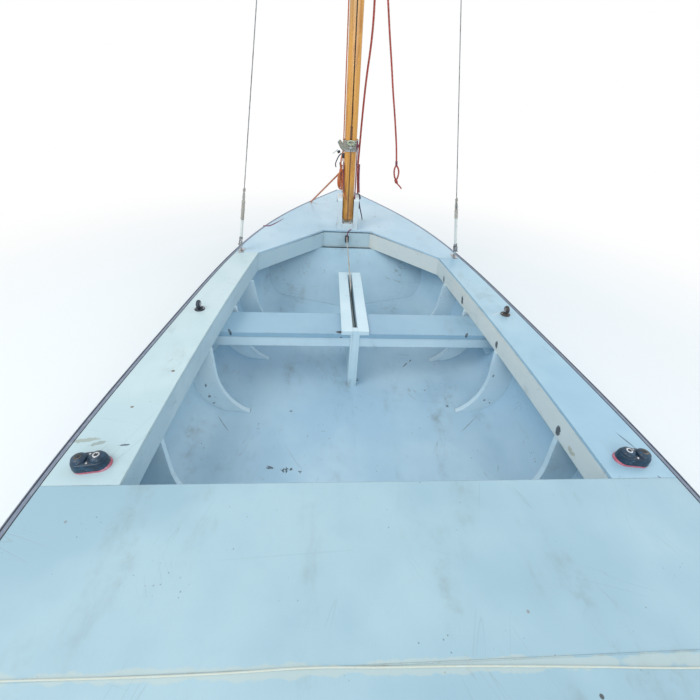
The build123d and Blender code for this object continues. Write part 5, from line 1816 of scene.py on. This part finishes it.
@dataclass
class Stage:
    """Floor at the waterline, plain light and a white backdrop."""

    half_size: float = 14.0
    stations: int = 90
    skin_inset: float = 0.004
    fade_start: float = 1.3
    fade_end: float = 3.3
    sky_tint: Place = (0.90, 0.97, 1.0)
    sky_strength: float = 0.80
    lamps: tuple[Lamp, ...] = (
        Lamp("key", (-3.2, -1.8, 4.6), (0.0, 0.2, 0.2), 3.0, 92.0, (1.0, 0.98, 0.95)),
        Lamp("fill", (3.6, 1.2, 3.4), (0.0, 0.0, 0.2), 3.4, 26.0, (0.80, 0.90, 1.0)),
        Lamp("stern_fill", (0.2, -4.6, 2.4), (0.0, 0.2, 0.1), 3.4, 60.0, (0.95, 0.99, 1.0)),
    )

    def waterline_half(self, tree: BVHTree, y: float) -> float:
        """Half breadth of the hull at the waterline, or zero where it is clear of the water.

        Args:
            tree: Faces of the hull.
            y: Distance forward.

        Returns:
            The half breadth, less an inset.
        """
        hit = tree.ray_cast(Vector((2.0, y, 0.0)), Vector((-1.0, 0.0, 0.0)))
        if hit[0] is None or hit[0].x < 0.03:
            return 0.0
        return hit[0].x - self.skin_inset

    def floor(self) -> None:
        """Plane at the waterline with the hull's own outline left open."""
        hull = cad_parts["hull_skin"]
        tree = BVHTree.FromObject(hull, bpy.context.evaluated_depsgraph_get())
        low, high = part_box("hull_skin")
        form = bmesh.new()
        far = self.half_size
        ys = [-far]
        for step in range(self.stations + 1):
            ys.append(low[1] - 0.01 + (high[1] - low[1] + 0.02) * step / self.stations)
        ys.append(far)
        rows = []
        for y in ys:
            half = self.waterline_half(tree, y)
            rows.append([form.verts.new((x, y, 0.0)) for x in (-far, -half, half, far)])
        for near, beyond in zip(rows, rows[1:]):
            form.faces.new((near[0], near[1], beyond[1], beyond[0]))
            form.faces.new((near[2], near[3], beyond[3], beyond[2]))
        data = bpy.data.meshes.new("floor")
        form.to_mesh(data)
        form.free()
        plane = bpy.data.objects.new("floor", data)
        bpy.context.scene.collection.objects.link(plane)
        data.materials.append(self.floor_material())

    def floor_material(self) -> bpy.types.Material:
        """Pale matt floor that shows white to the camera and keeps the shadow.

        Returns:
            The material.
        """
        graph = Graph("floor")
        tone = graph.mix(graph.noise(0.6, 2.0), Tone(236, 238, 240), Tone(242, 243, 244))
        graph.close(tone, 0.9, graph.bump(graph.noise(30.0, 2.0), 0.02, 0.001))
        far = graph.band(graph.length(graph.place), self.fade_start, self.fade_end)
        paths = graph.nodes.new("ShaderNodeLightPath")
        glow = graph.nodes.new("ShaderNodeEmission")
        blend = graph.nodes.new("ShaderNodeMixShader")
        graph.feed(blend.inputs["Fac"], graph.times(far, paths.outputs["Is Camera Ray"]))
        graph.links.new(graph.shader.outputs["BSDF"], blend.inputs[1])
        graph.links.new(glow.outputs[0], blend.inputs[2])
        graph.links.new(blend.outputs[0], graph.output.inputs["Surface"])
        return graph.material

    def world(self) -> None:
        """Even pale light, with white behind the boat."""
        world = bpy.data.worlds.new("studio")
        world.use_nodes = True
        nodes = world.node_tree.nodes
        links = world.node_tree.links
        nodes.clear()
        output = nodes.new("ShaderNodeOutputWorld")
        light = nodes.new("ShaderNodeBackground")
        light.inputs["Color"].default_value = (*self.sky_tint, 1.0)
        light.inputs["Strength"].default_value = self.sky_strength
        seen = nodes.new("ShaderNodeBackground")
        seen.inputs["Color"].default_value = (1.0, 1.0, 1.0, 1.0)
        seen.inputs["Strength"].default_value = 1.0
        paths = nodes.new("ShaderNodeLightPath")
        any_seen = paths.outputs["Is Camera Ray"]
        for ray in ("Is Glossy Ray", "Is Transmission Ray"):
            either = nodes.new("ShaderNodeMath")
            either.operation = "MAXIMUM"
            links.new(any_seen, either.inputs[0])
            links.new(paths.outputs[ray], either.inputs[1])
            any_seen = either.outputs[0]
        blend = nodes.new("ShaderNodeMixShader")
        links.new(any_seen, blend.inputs["Fac"])
        links.new(light.outputs[0], blend.inputs[1])
        links.new(seen.outputs[0], blend.inputs[2])
        links.new(blend.outputs[0], output.inputs["Surface"])
        bpy.context.scene.world = world

    def build(self) -> None:
        """Set up floor, world and lamps."""
        self.floor()
        self.world()
        for lamp in self.lamps:
            lamp.build()


@dataclass(frozen=True)
class Viewpoint:
    """Camera above the aft deck, as the photograph was taken."""

    place: Place = (-0.1263, -1.26, 1.115)
    pitch: float = 37.1
    yaw: float = 4.94
    roll: float = 3.6
    focal_pixels: float = 380.0
    frame_pixels: float = 700.0
    sensor: float = 36.0

    def build(self) -> None:
        """Place the camera and make it the scene's own."""
        pitch, yaw, roll = (math.radians(angle) for angle in (self.pitch, self.yaw, self.roll))
        forward = Vector((math.sin(yaw) * math.cos(pitch), math.cos(yaw) * math.cos(pitch), -math.sin(pitch)))
        level = Vector((math.cos(yaw), -math.sin(yaw), 0.0))
        above = level.cross(forward)
        right = level * math.cos(roll) + above * math.sin(roll)
        up = above * math.cos(roll) - level * math.sin(roll)
        data = bpy.data.cameras.new("camera")
        data.sensor_fit = "HORIZONTAL"
        data.sensor_width = self.sensor
        data.lens = self.focal_pixels / self.frame_pixels * self.sensor
        data.clip_start = 0.02
        camera = bpy.data.objects.new("camera", data)
        turn = Matrix((right, up, -forward)).transposed()
        camera.matrix_world = Matrix.Translation(Vector(self.place)) @ turn.to_4x4()
        bpy.context.scene.collection.objects.link(camera)
        bpy.context.scene.camera = camera


def main() -> None:
    """Build every piece in order and report it."""
    logging.basicConfig(level=logging.INFO, format="%(message)s")
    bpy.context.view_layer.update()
    palette = Palette()
    Viewpoint().build()
    HangingLine(palette).build()
    Carried(palette).dress()
    Stage().build()
    for side in Side:
        CamCleat(palette, side).build()
        SheetLead(palette, side).build()
        ShroudFitting(palette, side).build()
    ClamCleat(palette).build()
    MastFoot(palette).build()
    DeckLines(palette).build()
    Trim(palette).build()
    bpy.context.scene.view_settings.view_transform = "Standard"


if __name__ == "__main__":
    main()
